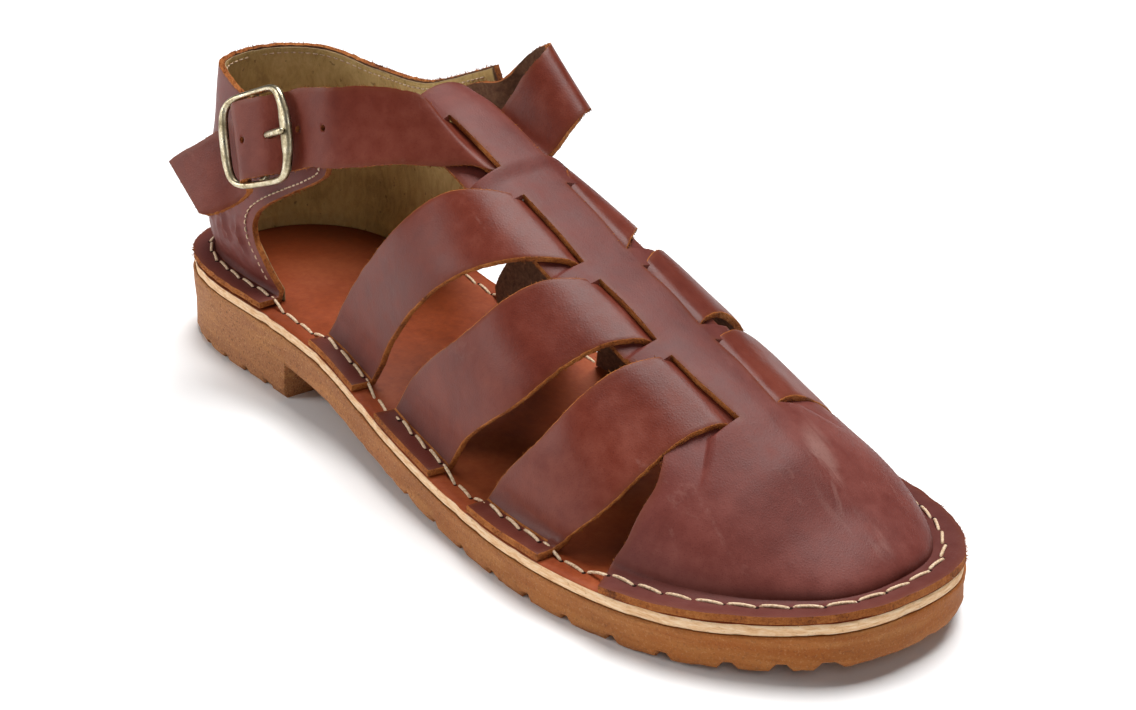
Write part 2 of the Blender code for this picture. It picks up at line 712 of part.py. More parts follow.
def buckle_frame_axes():
    forward = unit(BUCKLE_FORWARD)
    upward = np.asarray(BUCKLE_UPWARD, float)
    upward = unit(upward - forward * float(upward @ forward))
    return scaled(BUCKLE_PLACE), forward, upward, np.cross(forward, upward)


def in_buckle(forward, upward, outward):
    centre, f, u, n = buckle_frame_axes()
    return centre + f * forward + u * upward + n * outward


def slit_station(y):
    centre = ANKLE_SLIT_CENTRE * SOLE_LENGTH
    slope = math.cos(math.atan(INSTEP_SLOPE))
    half = ANKLE_STRAP_WIDTH / 2 * slope
    rear = last_point(centre - half, across_for(centre - half, y))
    front = last_point(centre + half, across_for(centre + half, y))
    return (rear + front) / 2, rear - front


def ankle_stations():
    """Middle points and directions across, from the end in the inner wing to the free tip."""
    middle = STRIP_MIDDLE_WIDTH / 2
    wing_x = COUNTER_ROWS[-3][4] * SOLE_LENGTH
    inside = -(COUNTER_WALL + ANKLE_SLIT_CLEARANCE)
    stations = []
    for back in (WING_OVERLAP, WING_OVERLAP / 2, 0.0):
        x = wing_x - back
        top = wing_face(x, float(rim_height(x, INNER)) - 0.004, INNER, inside)
        low = wing_face(x, top[2] - ANKLE_STRAP_WIDTH, INNER, inside)
        stations.append(((top + low) / 2, top - low))
    for row in ANKLE_INNER_RUN[::-1]:
        stations.append((scaled(row[:3]), np.array(row[3])))
    for y in (middle, middle / 2, 0.0, -middle / 2, -middle):
        stations.append(slit_station(y))
    for row in ANKLE_OUTER_RUN:
        stations.append((scaled(row[:3]), np.array(row[3])))
    _, f, u, _ = buckle_frame_axes()
    for forward, upward, outward, lean in STRAP_IN_BUCKLE:
        place = in_buckle(forward * BUCKLE_LENGTH, upward * BUCKLE_HEIGHT, outward)
        stations.append((place, u * math.sqrt(1 - lean * lean) + f * lean))
    return stations


def build_ankle_strap(material):
    upper, lower = ribbon_edges(ankle_stations(), ANKLE_STRAP_WIDTH, 72)
    grid = []
    half_hole = STRAP_HOLE / ANKLE_STRAP_WIDTH * 0.75
    for share in (1.0, 0.5 + half_hole, 0.5 - half_hole, 0.0):
        grid.append([u + (w - u) * share for u, w in zip(upper, lower)])
    strap = sheet("ankle_strap", grid, LEATHER)
    for step in STRAP_HOLE_STEPS:
        forward = PRONG_HOLE_PLACE + step * STRAP_HOLE_PITCH / BUCKLE_LENGTH
        stretch = PRONG_HOLE_STRETCH if step == 0 else 0.0
        combine(strap, hole_cutter("strap_hole_%d" % (step + 2), forward, stretch), "DIFFERENCE")
    return finish(strap, material)


def hole_cutter(name, forward, length):
    """Punch for one hole of the strap, square to the strap's face."""
    upper, lower = ribbon_edges(ankle_stations(), ANKLE_STRAP_WIDTH, 400)
    middle = (upper + lower) / 2
    centre, f, _, _ = buckle_frame_axes()
    reach = (middle - centre) @ f / BUCKLE_LENGTH
    last_part = np.arange(len(middle)) > len(middle) // 2
    index = int(np.argmin(np.where(last_part, np.abs(reach - forward), 9.0)))
    along = unit(middle[index + 1] - middle[index - 1])
    across = unit(upper[index] - lower[index])
    face = np.cross(along, across)
    bm = bmesh.new()
    ring = []
    for k in range(12):
        angle = math.tau * k / 12
        shift = length / 2 if math.cos(angle) > 0 else -length / 2
        side = along * (math.cos(angle) * STRAP_HOLE / 2 + shift) + across * math.sin(angle) * STRAP_HOLE / 2
        ring.append(bm.verts.new(middle[index] + side - face * LEATHER * 3))
    base = bm.faces.new(ring)
    top = bmesh.ops.extrude_face_region(bm, geom=[base])
    moved = [v for v in top["geom"] if isinstance(v, bmesh.types.BMVert)]
    bmesh.ops.translate(bm, verts=moved, vec=face * LEATHER * 6)
    bmesh.ops.recalc_face_normals(bm, faces=bm.faces)
    return add_object(name, bm)


# Buckle
def wire(name, points, radii, closed, sides=2):
    curve = bpy.data.curves.new(name, "CURVE")
    curve.dimensions = "3D"
    curve.bevel_depth = 1.0
    curve.bevel_resolution = sides
    curve.use_fill_caps = not closed
    line = curve.splines.new("POLY")
    line.points.add(len(points) - 1)
    for slot, point, radius in zip(line.points, points, radii):
        slot.co = (*point, 1.0)
        slot.radius = radius
    line.use_cyclic_u = closed
    obj = bpy.data.objects.new(name, curve)
    bpy.context.scene.collection.objects.link(obj)
    return obj


def build_buckle_frame(material):
    """Rounded frame with bowed end bars, thicker at their middles, and a dropped centre bar."""
    half_l, half_h = BUCKLE_LENGTH / 2, BUCKLE_HEIGHT / 2
    points, radii = [], []
    count = 44
    for k in range(count):
        angle = math.tau * (k + 0.5) / count
        c, s = math.cos(angle), math.sin(angle)
        f = half_l * math.copysign(abs(c) ** BUCKLE_SQUARENESS, c)
        u = half_h * math.copysign(abs(s) ** BUCKLE_SQUARENESS, s)
        bow = 1 - (u / half_h) ** 2
        f += math.copysign(BUCKLE_BOW, f) * bow * abs(c)
        drop = -BUCKLE_DROP * (1 - min(1.0, abs(f) / half_l) ** 2)
        points.append(in_buckle(f, u, drop))
        swell = (BUCKLE_BAR_SWELL - 1) * bow if abs(c) > 0.7 else 0.0
        radii.append(BUCKLE_WIRE * (1 + swell))
    frame = wire("buckle_frame", points, radii, closed=True)
    ends = [(half_h, -BUCKLE_DROP), (half_h - BUCKLE_BAR, -(BUCKLE_DROP + BUCKLE_BAR_DROP) / 2),
            (half_h - BUCKLE_BAR_DROP, -BUCKLE_BAR_DROP)]
    path = [in_buckle(0, u, n) for u, n in ends] + [in_buckle(0, -u, n) for u, n in ends[::-1]]
    bar = wire("centre_bar", path, [BUCKLE_BAR] * len(path), closed=False)
    to_mesh = mesh_of(frame)
    combine(to_mesh, mesh_of(bar), "UNION")
    return finish(to_mesh, material)


def mesh_of(curve_object):
    """The curve's own body as a mesh object of the same name."""
    name = curve_object.name
    graph = bpy.context.evaluated_depsgraph_get()
    mesh = bpy.data.meshes.new_from_object(curve_object.evaluated_get(graph))
    bpy.data.objects.remove(curve_object)
    bm = bmesh.new()
    bm.from_mesh(mesh)
    bmesh.ops.remove_doubles(bm, verts=bm.verts, dist=0.00002)
    bmesh.ops.recalc_face_normals(bm, faces=bm.faces)
    return add_object(name, bm)


def build_prong(material):
    """Prong curled round the centre bar, through the strap's hole, resting in the front notch."""
    curl = BUCKLE_BAR + CLEARANCE + PRONG_WIRE
    points = []
    for degrees in range(400, 85, -24):
        angle = math.radians(degrees)
        if degrees <= 350:
            points.append((curl * math.cos(angle), -BUCKLE_BAR_DROP + curl * math.sin(angle)))
    rest = BUCKLE_WIRE * BUCKLE_BAR_SWELL + PRONG_WIRE + CLEARANCE
    points += [(0.0022, -0.0009), (0.0045, -0.0002), (0.0075, 0.0009), (0.0110, 0.0018),
               (BUCKLE_LENGTH / 2 + 0.0012, rest), (BUCKLE_LENGTH / 2 + 0.0026, rest - 0.0001)]
    radii = [PRONG_WIRE] * (len(points) - 1) + [PRONG_WIRE * 0.7]
    prong = wire("buckle_prong", [in_buckle(f, 0, n) for f, n in points], radii, closed=False)
    return finish(mesh_of(prong), material)


def build_chape(material):
    """Folded leather loop that holds the centre bar, sewn down on the outer wing."""
    loop = BUCKLE_BAR + CLEARANCE + CHAPE_LEATHER / 2
    half_slot = PRONG_WIRE + CLEARANCE * 1.5
    across = (CHAPE_WIDTH / 2, half_slot + 0.0032, half_slot, -half_slot, -half_slot - 0.0032, -CHAPE_WIDTH / 2)
    grid = []
    for upward in across:
        line = []
        for forward in (-0.0230, -0.0190, -0.0150, -0.0110):
            line.append(chape_on_wing(forward, upward, CLEARANCE + CHAPE_LEATHER / 2))
        line.append(in_buckle(-0.0055, upward, -BUCKLE_BAR_DROP - loop - 0.0011))
        for degrees in (250, 285, 320, 355, 30, 65, 100, 130):
            angle = math.radians(degrees)
            line.append(in_buckle(loop * math.cos(angle), upward, -BUCKLE_BAR_DROP + loop * math.sin(angle)))
        line.append(in_buckle(-0.0060, upward, -BUCKLE_BAR_DROP - 0.0010))
        for forward in (-0.0110, -0.0150, -0.0180):
            line.append(chape_on_wing(forward, upward, 2 * CLEARANCE + CHAPE_LEATHER * 1.5))
        grid.append(line)
    slot = {(2, k) for k in range(4, 13)}
    return finish(sheet("buckle_chape", grid, CHAPE_LEATHER, slot, offset=0.0), material)


def chape_on_wing(forward, upward, lift):
    outward = -0.008
    for _ in range(6):
        point = in_buckle(forward, upward, outward)
        face = wing_face(float(point[0]), float(point[2]), OUTER, lift)
        outward += (point[1] - face[1])
    return in_buckle(forward, upward, outward)


def make_material(name, color, roughness, metallic=0.0):
    material = bpy.data.materials.new(name)
    material.use_nodes = True
    shader = material.node_tree.nodes["Principled BSDF"]
    shader.inputs["Base Color"].default_value = color
    shader.inputs["Roughness"].default_value = roughness
    shader.inputs["Metallic"].default_value = metallic
    return material


def stand_on_origin(objects):
    """Bring the middle of the shoe's footprint and the floor to the origin."""
    graph = bpy.context.evaluated_depsgraph_get()
    corners = []
    for obj in objects:
        mesh = obj.evaluated_get(graph).to_mesh()
        places = np.empty(len(mesh.vertices) * 3)
        mesh.vertices.foreach_get("co", places)
        corners.append(places.reshape(-1, 3))
    low = np.vstack(corners).min(axis=0)
    high = np.vstack(corners).max(axis=0)
    shift = ((low[0] + high[0]) / 2, (low[1] + high[1]) / 2, low[2])
    for obj in bpy.data.objects:
        for vertex in obj.data.vertices:
            vertex.co = (vertex.co.x - shift[0], vertex.co.y - shift[1], vertex.co.z - shift[2])
    print("origin shift", [round(float(s), 5) for s in shift])


def main():
    for obj in list(bpy.data.objects):
        bpy.data.objects.remove(obj)
    red = make_material("leather_red", LEATHER_RED, 0.5)
    tan = make_material("insole_leather", INSOLE_TAN, 0.5)
    rubber = make_material("rubber", RUBBER_HONEY, 0.8)
    brass = make_material("brass", BRASS, 0.35, 1.0)
    pieces = [
        build_outsole(rubber),
        build_insole(tan),
        build_upper(red.copy()),
        build_counter(red.copy()),
        build_ankle_strap(red.copy()),
        build_chape(red.copy()),
        build_buckle_frame(brass),
        build_prong(brass.copy()),
    ]
    stand_on_origin(pieces)


main()
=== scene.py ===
import functools
import math

import bmesh
import bpy
import numpy as np
from mathutils import Matrix, Vector
from mathutils.kdtree import KDTree


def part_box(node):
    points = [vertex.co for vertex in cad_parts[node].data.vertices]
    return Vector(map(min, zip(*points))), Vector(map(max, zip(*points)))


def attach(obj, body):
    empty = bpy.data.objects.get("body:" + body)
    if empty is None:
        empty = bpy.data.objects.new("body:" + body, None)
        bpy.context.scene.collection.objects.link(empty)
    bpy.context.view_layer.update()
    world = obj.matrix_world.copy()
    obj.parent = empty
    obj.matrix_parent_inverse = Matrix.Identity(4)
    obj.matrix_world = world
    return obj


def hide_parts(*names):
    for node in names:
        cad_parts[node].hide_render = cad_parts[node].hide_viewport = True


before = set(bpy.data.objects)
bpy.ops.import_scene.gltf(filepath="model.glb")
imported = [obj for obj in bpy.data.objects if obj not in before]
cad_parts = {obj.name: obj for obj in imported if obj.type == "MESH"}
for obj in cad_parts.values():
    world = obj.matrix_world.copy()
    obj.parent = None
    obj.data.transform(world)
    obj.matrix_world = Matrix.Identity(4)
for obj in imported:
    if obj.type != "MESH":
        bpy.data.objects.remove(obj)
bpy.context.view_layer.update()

# Sizes of the shoe: lengths in metres in the last's own frame, heel at x 0, toe at +x, inner side at +y,
# or shares of the sole's length, the ball's width or the counter's height
SOLE_LENGTH = 0.300
BALL_WIDTH = 0.104
FOREFOOT_THICKNESS = 0.0101
HEEL_RISE = 0.0114
TOE_SPRING = 0.0052
HEEL_BLOCK_LENGTH = 0.077
HEEL_CORNER_RISE = 0.004
HEEL_CORNER_LENGTH = 0.007
LUG_GROOVE_WIDTH = 0.0045
LUG_GROOVE_DEPTH = 0.0019
LUG_GROOVE_SLANT = 0.0013
HEEL_LUG_PITCH = 0.0120
TOE_LUG_PITCH = 0.0150
INSOLE_THICKNESS = 0.0032
CLEARANCE = 0.0003
LEATHER = 0.0020
COUNTER_WALL = 0.0024
COUNTER_LEATHER = 0.0019
FEATHER_INSET = 0.0087
FLANGE_MARGIN = 0.0005
UPPER_HEIGHT = 0.0785
STRIP_WIDTH = 0.034
STRIP_MIDDLE_WIDTH = 0.015
SLIT_WIDTH = 0.0004
SLIT_RUN_OUT = 0.0007
SLIT_RAMP = 0.0013
STRAP_FILL = 0.0006
STRAP_REST = 0.00008
STRAP_OVER_MARGIN = 0.0009
INSTEP_SLOPE = 0.46
ANKLE_STRAP_WIDTH = 0.0225
ANKLE_SLIT_CLEARANCE = 0.0008
ANKLE_SLIT_ROOM = 0.0005
ANKLE_MARGIN_DROP = 0.0033
COUNTER_HEIGHT = 0.0885
WING_FLARE = 0.0065
WING_OVERLAP = 0.015
BUCKLE_LENGTH = 0.0262
BUCKLE_HEIGHT = 0.0262
BUCKLE_BOW = 0.0013
BUCKLE_BAR_DROP = 0.0031
BUCKLE_BAR = 0.0011
PRONG_WIRE = 0.00075
CHAPE_WIDTH = 0.0160
CHAPE_LEATHER = 0.0012
STRAP_HOLE = 0.0018
STRAP_HOLES = (-0.12, 0.29, 0.6275, 1.055)
PRONG_HOLE = 0.29
PRONG_HOLE_STRETCH = 0.0026
STITCH_INSET = 0.0058
STITCH_PITCH = 0.0082
WELT_THREAD = 0.00046
AWL_HOLE = 0.00062
ROW_STITCH = 0.0018
ROW_PITCH = 0.0023
ROW_THREAD = 0.00026
FIBRE_ROOT = 0.00012
FIBRE_TIP = 0.00003
FIBRE_SUNK = 0.00015
EDGE_WEAR_REACH = 0.0028
# Height over the footbed through which the leather gets painted shade
FOOT_SHADE_HEIGHT = 0.0042
STRAP_ARCH = 0.0007
INNER_WING_FRONT = 0.349
ANKLE_BELOW_RIM = 0.004
WING_FLARE_START = 0.20
WING_FLARE_RUN = 0.13
FOLD_HEIGHT = 0.22
FOLD_SPACING = 0.0080
FOLD_DEPTH = 0.00190
FRAME_WIDE = 0.00100
FRAME_TALL = 0.00112
FRAME_DROP = 0.0010
LOBE_PLACE = 0.0032
LOBE_REACH = 0.0034
NOTCH_REACH = 0.0013
HEEL_TREAD_START = 0.015
TREAD_SPAN = (0.51, 0.95)
TOE_END_GROOVES = (0.2835, 0.2915)
LIFT_AT_STRIP_END = 0.0004
LIFT_BETWEEN_STRAPS = 0.0010
LIFT_OVER_STRAP = 0.0019
LIFT_PAST_SLITS = ((0.001, 0.0014), (0.010, 0.0004), (0.022, 0.0))
MARGIN_FALL = 0.75
STRAP_DOWN_AT = 0.028
STRAP_DOWN_RUN = 0.011
STRAP_RISE_START = 0.0007
STRAP_RISE_RUN = 0.0036
LINING_INSET = 0.035
EDGE_ROW = 0.135
BOX_ROW = 0.215
FRAME_BAR_ROUND = 0.36
FRAME_SIDE_ROUND = 0.40
FRAME_TAPER = 0.035
FRONT_BAR_SWELL = 0.00055
LOBE_SWELL = 0.00080
NOTCH_NARROW = 0.00092
NOTCH_LOW = 0.00055
REAR_BAR_SWELL = 0.00092
PRONG_REST = 0.00135
STITCH_LEAN = 0.00040
STITCH_SWAY = 0.0002
STITCH_GAP = 0.0003
WELT_ARCH = 0.00032
WELT_DIVE = 0.00030
ROW_ARCH = 0.00018

# Wavelength and height of what hand work and wear leave uneven; a rim's height is a share of its last cell
SIDE_WEAR = (0.011, 0.00012)
LUG_WEAR = (0.006, 0.00035)
FOOTBED_WEAR = (0.009, 0.0004)
VAMP_WAVES = (0.016, 0.00010)
CAP_RIM_WAVES = (0.006, 0.14)
STRAP_WAVES = (0.018, 0.00012)
STRAP_CUT = (0.0024, 0.00016)
ANKLE_CUT = (0.0024, 0.00014)
COUNTER_WAVES = (0.021, 0.00018)
COUNTER_CUT = (0.0022, 0.00018)
COUNTER_RIM_WAVES = (0.005, 0.16)
LINING_WAVES = (0.015, 0.00010)

# How finely the meshes are divided
OUTLINE_POINTS = 1440
WELD = 0.00001
VAMP_ROW_STEP = 0.0007
CAP_ROWS = 46
MARGIN_COLUMNS = 7
MIDDLE_COLUMNS = 13
STRAP_COLUMNS = 17
STRAP_STEPS = 52
FRAME_POINTS = 160
PRONG_POINTS = 90
CHAPE_SIDE_ROWS = 7
CHAPE_TURN = (250, 270, 285, 300, 320, 340, 355, 375, 390, 410, 425, 440, 460, 480)
CAP_SIDE_SHARES = (0.975, 0.955, 0.93, 0.90, 0.865, 0.83, 0.79, 0.75, 0.71, 0.67, 0.63, 0.59, 0.55, 0.51,
                   0.475, 0.44, 0.405, 0.37)
CAP_FLANGE_SHARES = (1.0, 0.85, 0.68, 0.50, 0.34, 0.22)
STRAP_FLANGE_SHARES = (0.20, 0.34, 0.50, 0.68, 0.85, 1.0)
COUNTER_FLANGE_SHARES = (0.16, 0.30, 0.48, 0.66, 0.84, 1.0)

SOLE_OUTLINE = (
    (0.027, 0.240, 0.204), (0.093, 0.329, 0.337), (0.200, 0.349, 0.360), (0.333, 0.369, 0.324),
    (0.467, 0.435, 0.339), (0.600, 0.489, 0.425), (0.707, 0.5125, 0.478), (0.800, 0.4875, 0.485),
    (0.883, 0.416, 0.447), (0.950, 0.285, 0.344), (0.987, 0.160, 0.221),
)
TOE_POINT_SHARE = 0.058
RUBBED_TOE = (((0.112, 0.0075, 0.039), -0.50, (0.020, 0.0060, 0.03)),
              ((0.129, 0.0050, 0.030), 0.10, (0.014, 0.0050, 0.03)))
TOE_SPRING_START = 0.783
HEEL_RISE_CURVE = ((0.0, 1.0), (0.15, 1.0), (0.30, 0.876), (0.45, 0.407), (0.60, 0.045), (0.66, 0.0),
                   (1.0, 0.0))
LAST_SECTIONS = (
    (0.333, 1.055, 1.05, 0.76), (0.367, 1.000, 0.98, 0.73), (0.450, 0.920, 0.82, 0.68),
    (0.533, 0.814, 0.70, 0.64), (0.617, 0.699, 0.75, 0.68), (0.700, 0.582, 0.97, 0.80),
    (0.783, 0.461, 1.22, 0.93), (0.860, 0.340, 1.30, 0.97), (0.920, 0.200, 1.30, 0.97),
    (1.000, 0.120, 1.30, 0.97),
)
CREST_LINE = ((0.333, 0.0), (0.667, 0.0), (0.867, 0.019), (0.970, 0.058))
TOE_ROUND_START = 0.860
CROSS_STRAPS = {
    "strap_rear": {"slit": (0.526, 0.608), "outer_foot": (0.309, 0.405), "inner_foot": (0.338, 0.447),
                   "bend": (-0.50, 0.50)},
    "strap_middle": {"slit": (0.635, 0.708), "outer_foot": (0.455, 0.563), "inner_foot": (0.487, 0.607),
                     "bend": (-0.85, 1.00)},
    "strap_front": {"slit": (0.732, 0.808), "outer_foot": (0.630, 0.733), "inner_foot": (0.645, 0.750),
                    "bend": (-0.80, 1.10)},
}
ANKLE_SLIT_CENTRE = 0.4517
STRIP_TOP_END = 0.372
STRIP_TOP_ROUND = 0.010
STRIP_TOP_NARROW = 0.55
CAP_REAR_EDGE = ((0.0, 0.762), (0.22, 0.790), (0.45, 0.804), (0.75, 0.803), (1.0, 0.790))
CAP_FLANGE_SLANT = 0.0035
CAP_DIP_FADE = 3.5
COUNTER_ROWS = (
    (0.00, 0.0000, 0.0000, 0.213, 0.225), (0.03, 0.0014, 0.0006, 0.209, 0.228),
    (0.09, 0.0029, 0.0014, 0.202, 0.235), (0.17, 0.0034, 0.0020, 0.191, 0.248),
    (0.26, 0.0031, 0.0022, 0.177, 0.265), (0.34, 0.0026, 0.0020, 0.172, 0.277),
    (0.42, 0.0020, 0.0016, 0.178, 0.287), (0.50, 0.0012, 0.0010, 0.194, 0.298),
    (0.58, 0.0004, 0.0003, 0.216, 0.312), (0.66, -0.0006, -0.0005, 0.243, 0.330),
    (0.74, -0.0014, -0.0013, 0.273, 0.347), (0.82, -0.0022, -0.0020, 0.297, 0.349),
    (0.91, -0.0030, -0.0026, 0.301, 0.343), (1.00, -0.0037, -0.0031, 0.299, 0.333),
)
COUNTER_BACK_CENTRE = 0.125
COUNTER_RIM = (
    (0.020, 1.000, 1.000), (0.067, 0.996, 0.982), (0.133, 0.962, 0.947), (0.220, 0.935, 0.966),
    (0.267, 0.945, 1.018), (0.297, 0.958, 1.062), (0.340, 0.970, 1.125),
)
ANKLE_OUTER_RUN = (
    (0.4390, -0.115, 1.073, (-0.79, -0.04, 0.57)),
    (0.4190, -0.162, 1.085, (-0.61, 0.02, 0.79)),
    (0.3920, -0.223, 1.087, (-0.53, 0.09, 0.84)),
    (0.3660, -0.275, 1.072, (-0.38, 0.19, 0.91)),
    (0.3350, -0.323, 1.050, (-0.28, 0.19, 0.94)),
)
ANKLE_INNER_RUN = (
    (0.4580, 0.144, 1.110, (-0.87, 0.00, 0.50)),
    (0.4600, 0.221, 1.184, (-0.82, 0.00, 0.57)),
    (0.4380, 0.288, 1.160, (-0.66, -0.10, 0.75)),
    (0.4000, 0.318, 1.092, (-0.42, -0.12, 0.90)),
    (0.3660, 0.291, 1.000, (-0.24, -0.10, 0.96)),
)
BUCKLE_PLACE = (0.2477, -0.388, 0.950)
BUCKLE_FORWARD = (0.905, 0.165, 0.370)
BUCKLE_UPWARD = (-0.375, 0.190, 0.900)
STRAP_IN_BUCKLE = (
    (0.70, 0.01, -0.0026, 0.04), (0.50, 0.00, -0.0021, 0.02), (0.25, 0.00, 0.0008, 0.00),
    (0.00, 0.00, 0.0021, 0.00), (-0.26, -0.01, 0.0018, -0.02), (-0.39, -0.05, -0.0010, -0.06),
    (-0.50, -0.10, -0.0041, -0.12), (-0.90, -0.26, -0.0032, -0.24), (-1.38, -0.36, 0.0002, -0.58),
)

# Floor and camera
FLOOR_GAP = 0.00005
FLOOR_HALF = 12.0
CAMERA_PLACE = (0.648358, -0.387782, 0.326347)
CAMERA_AZIMUTH = 51.116
CAMERA_ELEVATION = 25.072
CAMERA_LENS = 77.745
CAMERA_SENSOR = 36.0

OUTER, INNER = -1, 1


def graded(x, stations, values):
    """Monotone curve through a table's columns, level outside its ends."""
    xs, ys = np.asarray(stations, float), np.asarray(values, float)
    x = np.clip(np.asarray(x, float), xs[0], xs[-1])
    run = np.diff(xs)
    slope = np.diff(ys) / run
    tangent = np.zeros(len(xs))
    same_way = slope[:-1] * slope[1:] > 0
    mean = 2.0 * slope[:-1] * slope[1:] / np.where(same_way, slope[:-1] + slope[1:], 1.0)
    tangent[1:-1] = np.where(same_way, mean, 0.0)
    tangent[0], tangent[-1] = slope[0], slope[-1]
    i = np.clip(np.searchsorted(xs, x, side="right") - 1, 0, len(run) - 1)
    t = (x - xs[i]) / run[i]
    return ((1 + 2 * t) * (1 - t) ** 2 * ys[i] + t * (1 - t) ** 2 * run[i] * tangent[i]
            + t * t * (3 - 2 * t) * ys[i + 1] + t * t * (t - 1) * run[i] * tangent[i + 1])


def table_curve(table, x, index=1):
    """Monotone curve through one column of a table, over the table's first column."""
    return graded(x, [row[0] for row in table], [row[index] for row in table])


def ease(t):
    t = np.clip(t, 0, 1)
    return t * t * (3 - 2 * t)


def run_along(line):
    """Length run at each point of a line."""
    return np.concatenate([[0.0], np.cumsum(np.linalg.norm(np.diff(line, axis=0), axis=1))])


def read_at(run, line, place):
    """The point of a line, or of values beside it, where the length run is place."""
    return np.array([np.interp(place, run, line[:, i]) for i in range(line.shape[1])])


def spline(points, count, closed=False):
    """Smooth curve with even bends through the points, read at evenly spaced places."""
    p = np.asarray(points, float)
    if closed:
        p = np.vstack([p, p[:1]])
    h = np.linalg.norm(np.diff(p, axis=0), axis=1)
    d = np.diff(p, axis=0) / h[:, None]
    n = len(p)
    matrix, right = np.zeros((n, n)), np.zeros_like(p)
    for i in range(1, n - 1):
        matrix[i, i - 1:i + 2] = (h[i], 2 * (h[i - 1] + h[i]), h[i - 1])
        right[i] = 3 * (h[i] * d[i - 1] + h[i - 1] * d[i])
    if closed:
        matrix[0, 0], matrix[0, -1] = 1.0, -1.0
        matrix[-1, 0], matrix[-1, 1] = 2 * (h[-1] + h[0]), h[-1]
        matrix[-1, -2] = h[0]
        right[-1] = 3 * (h[0] * d[-1] + h[-1] * d[0])
    else:
        matrix[0, 0], matrix[0, 1], right[0] = 2.0, 1.0, 3 * d[0]
        matrix[-1, -1], matrix[-1, -2], right[-1] = 2.0, 1.0, 3 * d[-1]
    m = np.linalg.solve(matrix, right)
    knots = np.concatenate([[0.0], np.cumsum(h)])
    places = np.linspace(0.0, knots[-1], count, endpoint=not closed)
    i = np.clip(np.searchsorted(knots, places, side="right") - 1, 0, len(h) - 1)
    t, hi = ((places - knots[i]) / h[i])[:, None], h[i][:, None]
    return ((1 + 2 * t) * (1 - t) ** 2 * p[i] + t * (1 - t) ** 2 * hi * m[i]
            + t * t * (3 - 2 * t) * p[i + 1] + t * t * (t - 1) * hi * m[i + 1])


def unit(v):
    v = np.asarray(v, float)
    return v / np.maximum(np.linalg.norm(v, axis=-1, keepdims=True), 1e-12)


def ripple(points, wavelength, seed):
    """Smooth irregular number from about -1 to 1 at each point, the same on every run."""
    draw = np.random.default_rng(seed)
    total = np.zeros(points.shape[:-1])
    for _ in range(7):
        way = unit(draw.normal(size=3)) * math.tau / (wavelength * draw.uniform(0.7, 1.6))
        total += np.sin(points @ way + draw.uniform(0, math.tau))
    return total / 3.5


def uneven(points, size, seed):
    """The ripple of a given wavelength and height."""
    wavelength, height = size
    return ripple(points, wavelength, seed) * height


# Outline of the sole
def sole_outline():
    outer = [(s * SOLE_LENGTH, -o * BALL_WIDTH) for s, o, _ in SOLE_OUTLINE]
    inner = [(s * SOLE_LENGTH, i * BALL_WIDTH) for s, _, i in SOLE_OUTLINE]
    toe = [(SOLE_LENGTH, TOE_POINT_SHARE * BALL_WIDTH)]
    loop = spline([(0.0, 0.0)] + outer + toe + inner[::-1], OUTLINE_POINTS, closed=True)
    along = unit(np.roll(loop, -1, axis=0) - np.roll(loop, 1, axis=0))
    return loop, np.column_stack([along[:, 1], -along[:, 0]])


OUTLINE, OUTWARD = sole_outline()
SOLE_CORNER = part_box("outsole")[0]
PLACE = np.array([OUTLINE[:, 0].min() - SOLE_CORNER[0], OUTLINE[:, 1].min() - SOLE_CORNER[1], 0.0])


@functools.lru_cache(maxsize=None)
def edge_table(side, inset):
    loop = OUTLINE - OUTWARD * inset
    start = int(np.argmin(loop[:, 0]))
    loop, out = np.roll(loop, -start, axis=0), np.roll(OUTWARD, -start, axis=0)
    turn = int(np.argmax(loop[:, 0]))
    if side == INNER:
        loop, out = np.vstack([loop[:1], loop[turn:][::-1]]), np.vstack([out[:1], out[turn:][::-1]])
    else:
        loop, out = loop[:turn + 1], out[:turn + 1]
    order = np.argsort(loop[:, 0], kind="stable")
    return loop[order], out[order]


def edge_at(x, side, inset=0.0):
    """Place and outward direction of the outline, moved in by inset, where it passes x."""
    loop, out = edge_table(side, inset)
    x = np.clip(np.asarray(x, float), loop[0, 0], loop[-1, 0])
    y = np.interp(x, loop[:, 0], loop[:, 1])
    nx, ny = np.interp(x, loop[:, 0], out[:, 0]), np.interp(x, loop[:, 0], out[:, 1])
    size = np.hypot(nx, ny)
    return x, y, nx / size, ny / size


def outline_reach(inset):
    loop = OUTLINE - OUTWARD * inset
    return float(loop[:, 0].min()), float(loop[:, 0].max())


def even_turns(count):
    low, high = outline_reach(0.0)
    return low + (high - low) * (1 - np.cos(np.linspace(0.0, math.pi, count))) / 2


def rubber_top(x):
    share = np.asarray(x, float) / SOLE_LENGTH
    spring = np.clip((share - TOE_SPRING_START) / (1 - TOE_SPRING_START), 0, 1) ** 2
    return FOREFOOT_THICKNESS + HEEL_RISE * table_curve(HEEL_RISE_CURVE, share) + TOE_SPRING * spring


def insole_top(x):
    return rubber_top(x) + CLEARANCE + INSOLE_THICKNESS


def flange_top(x, leather=LEATHER):
    return insole_top(x) + CLEARANCE + leather


# Last over the instep, for arrays of x and of shares across
def crest_line(x):
    return BALL_WIDTH * table_curve(CREST_LINE, np.asarray(x, float) / SOLE_LENGTH)


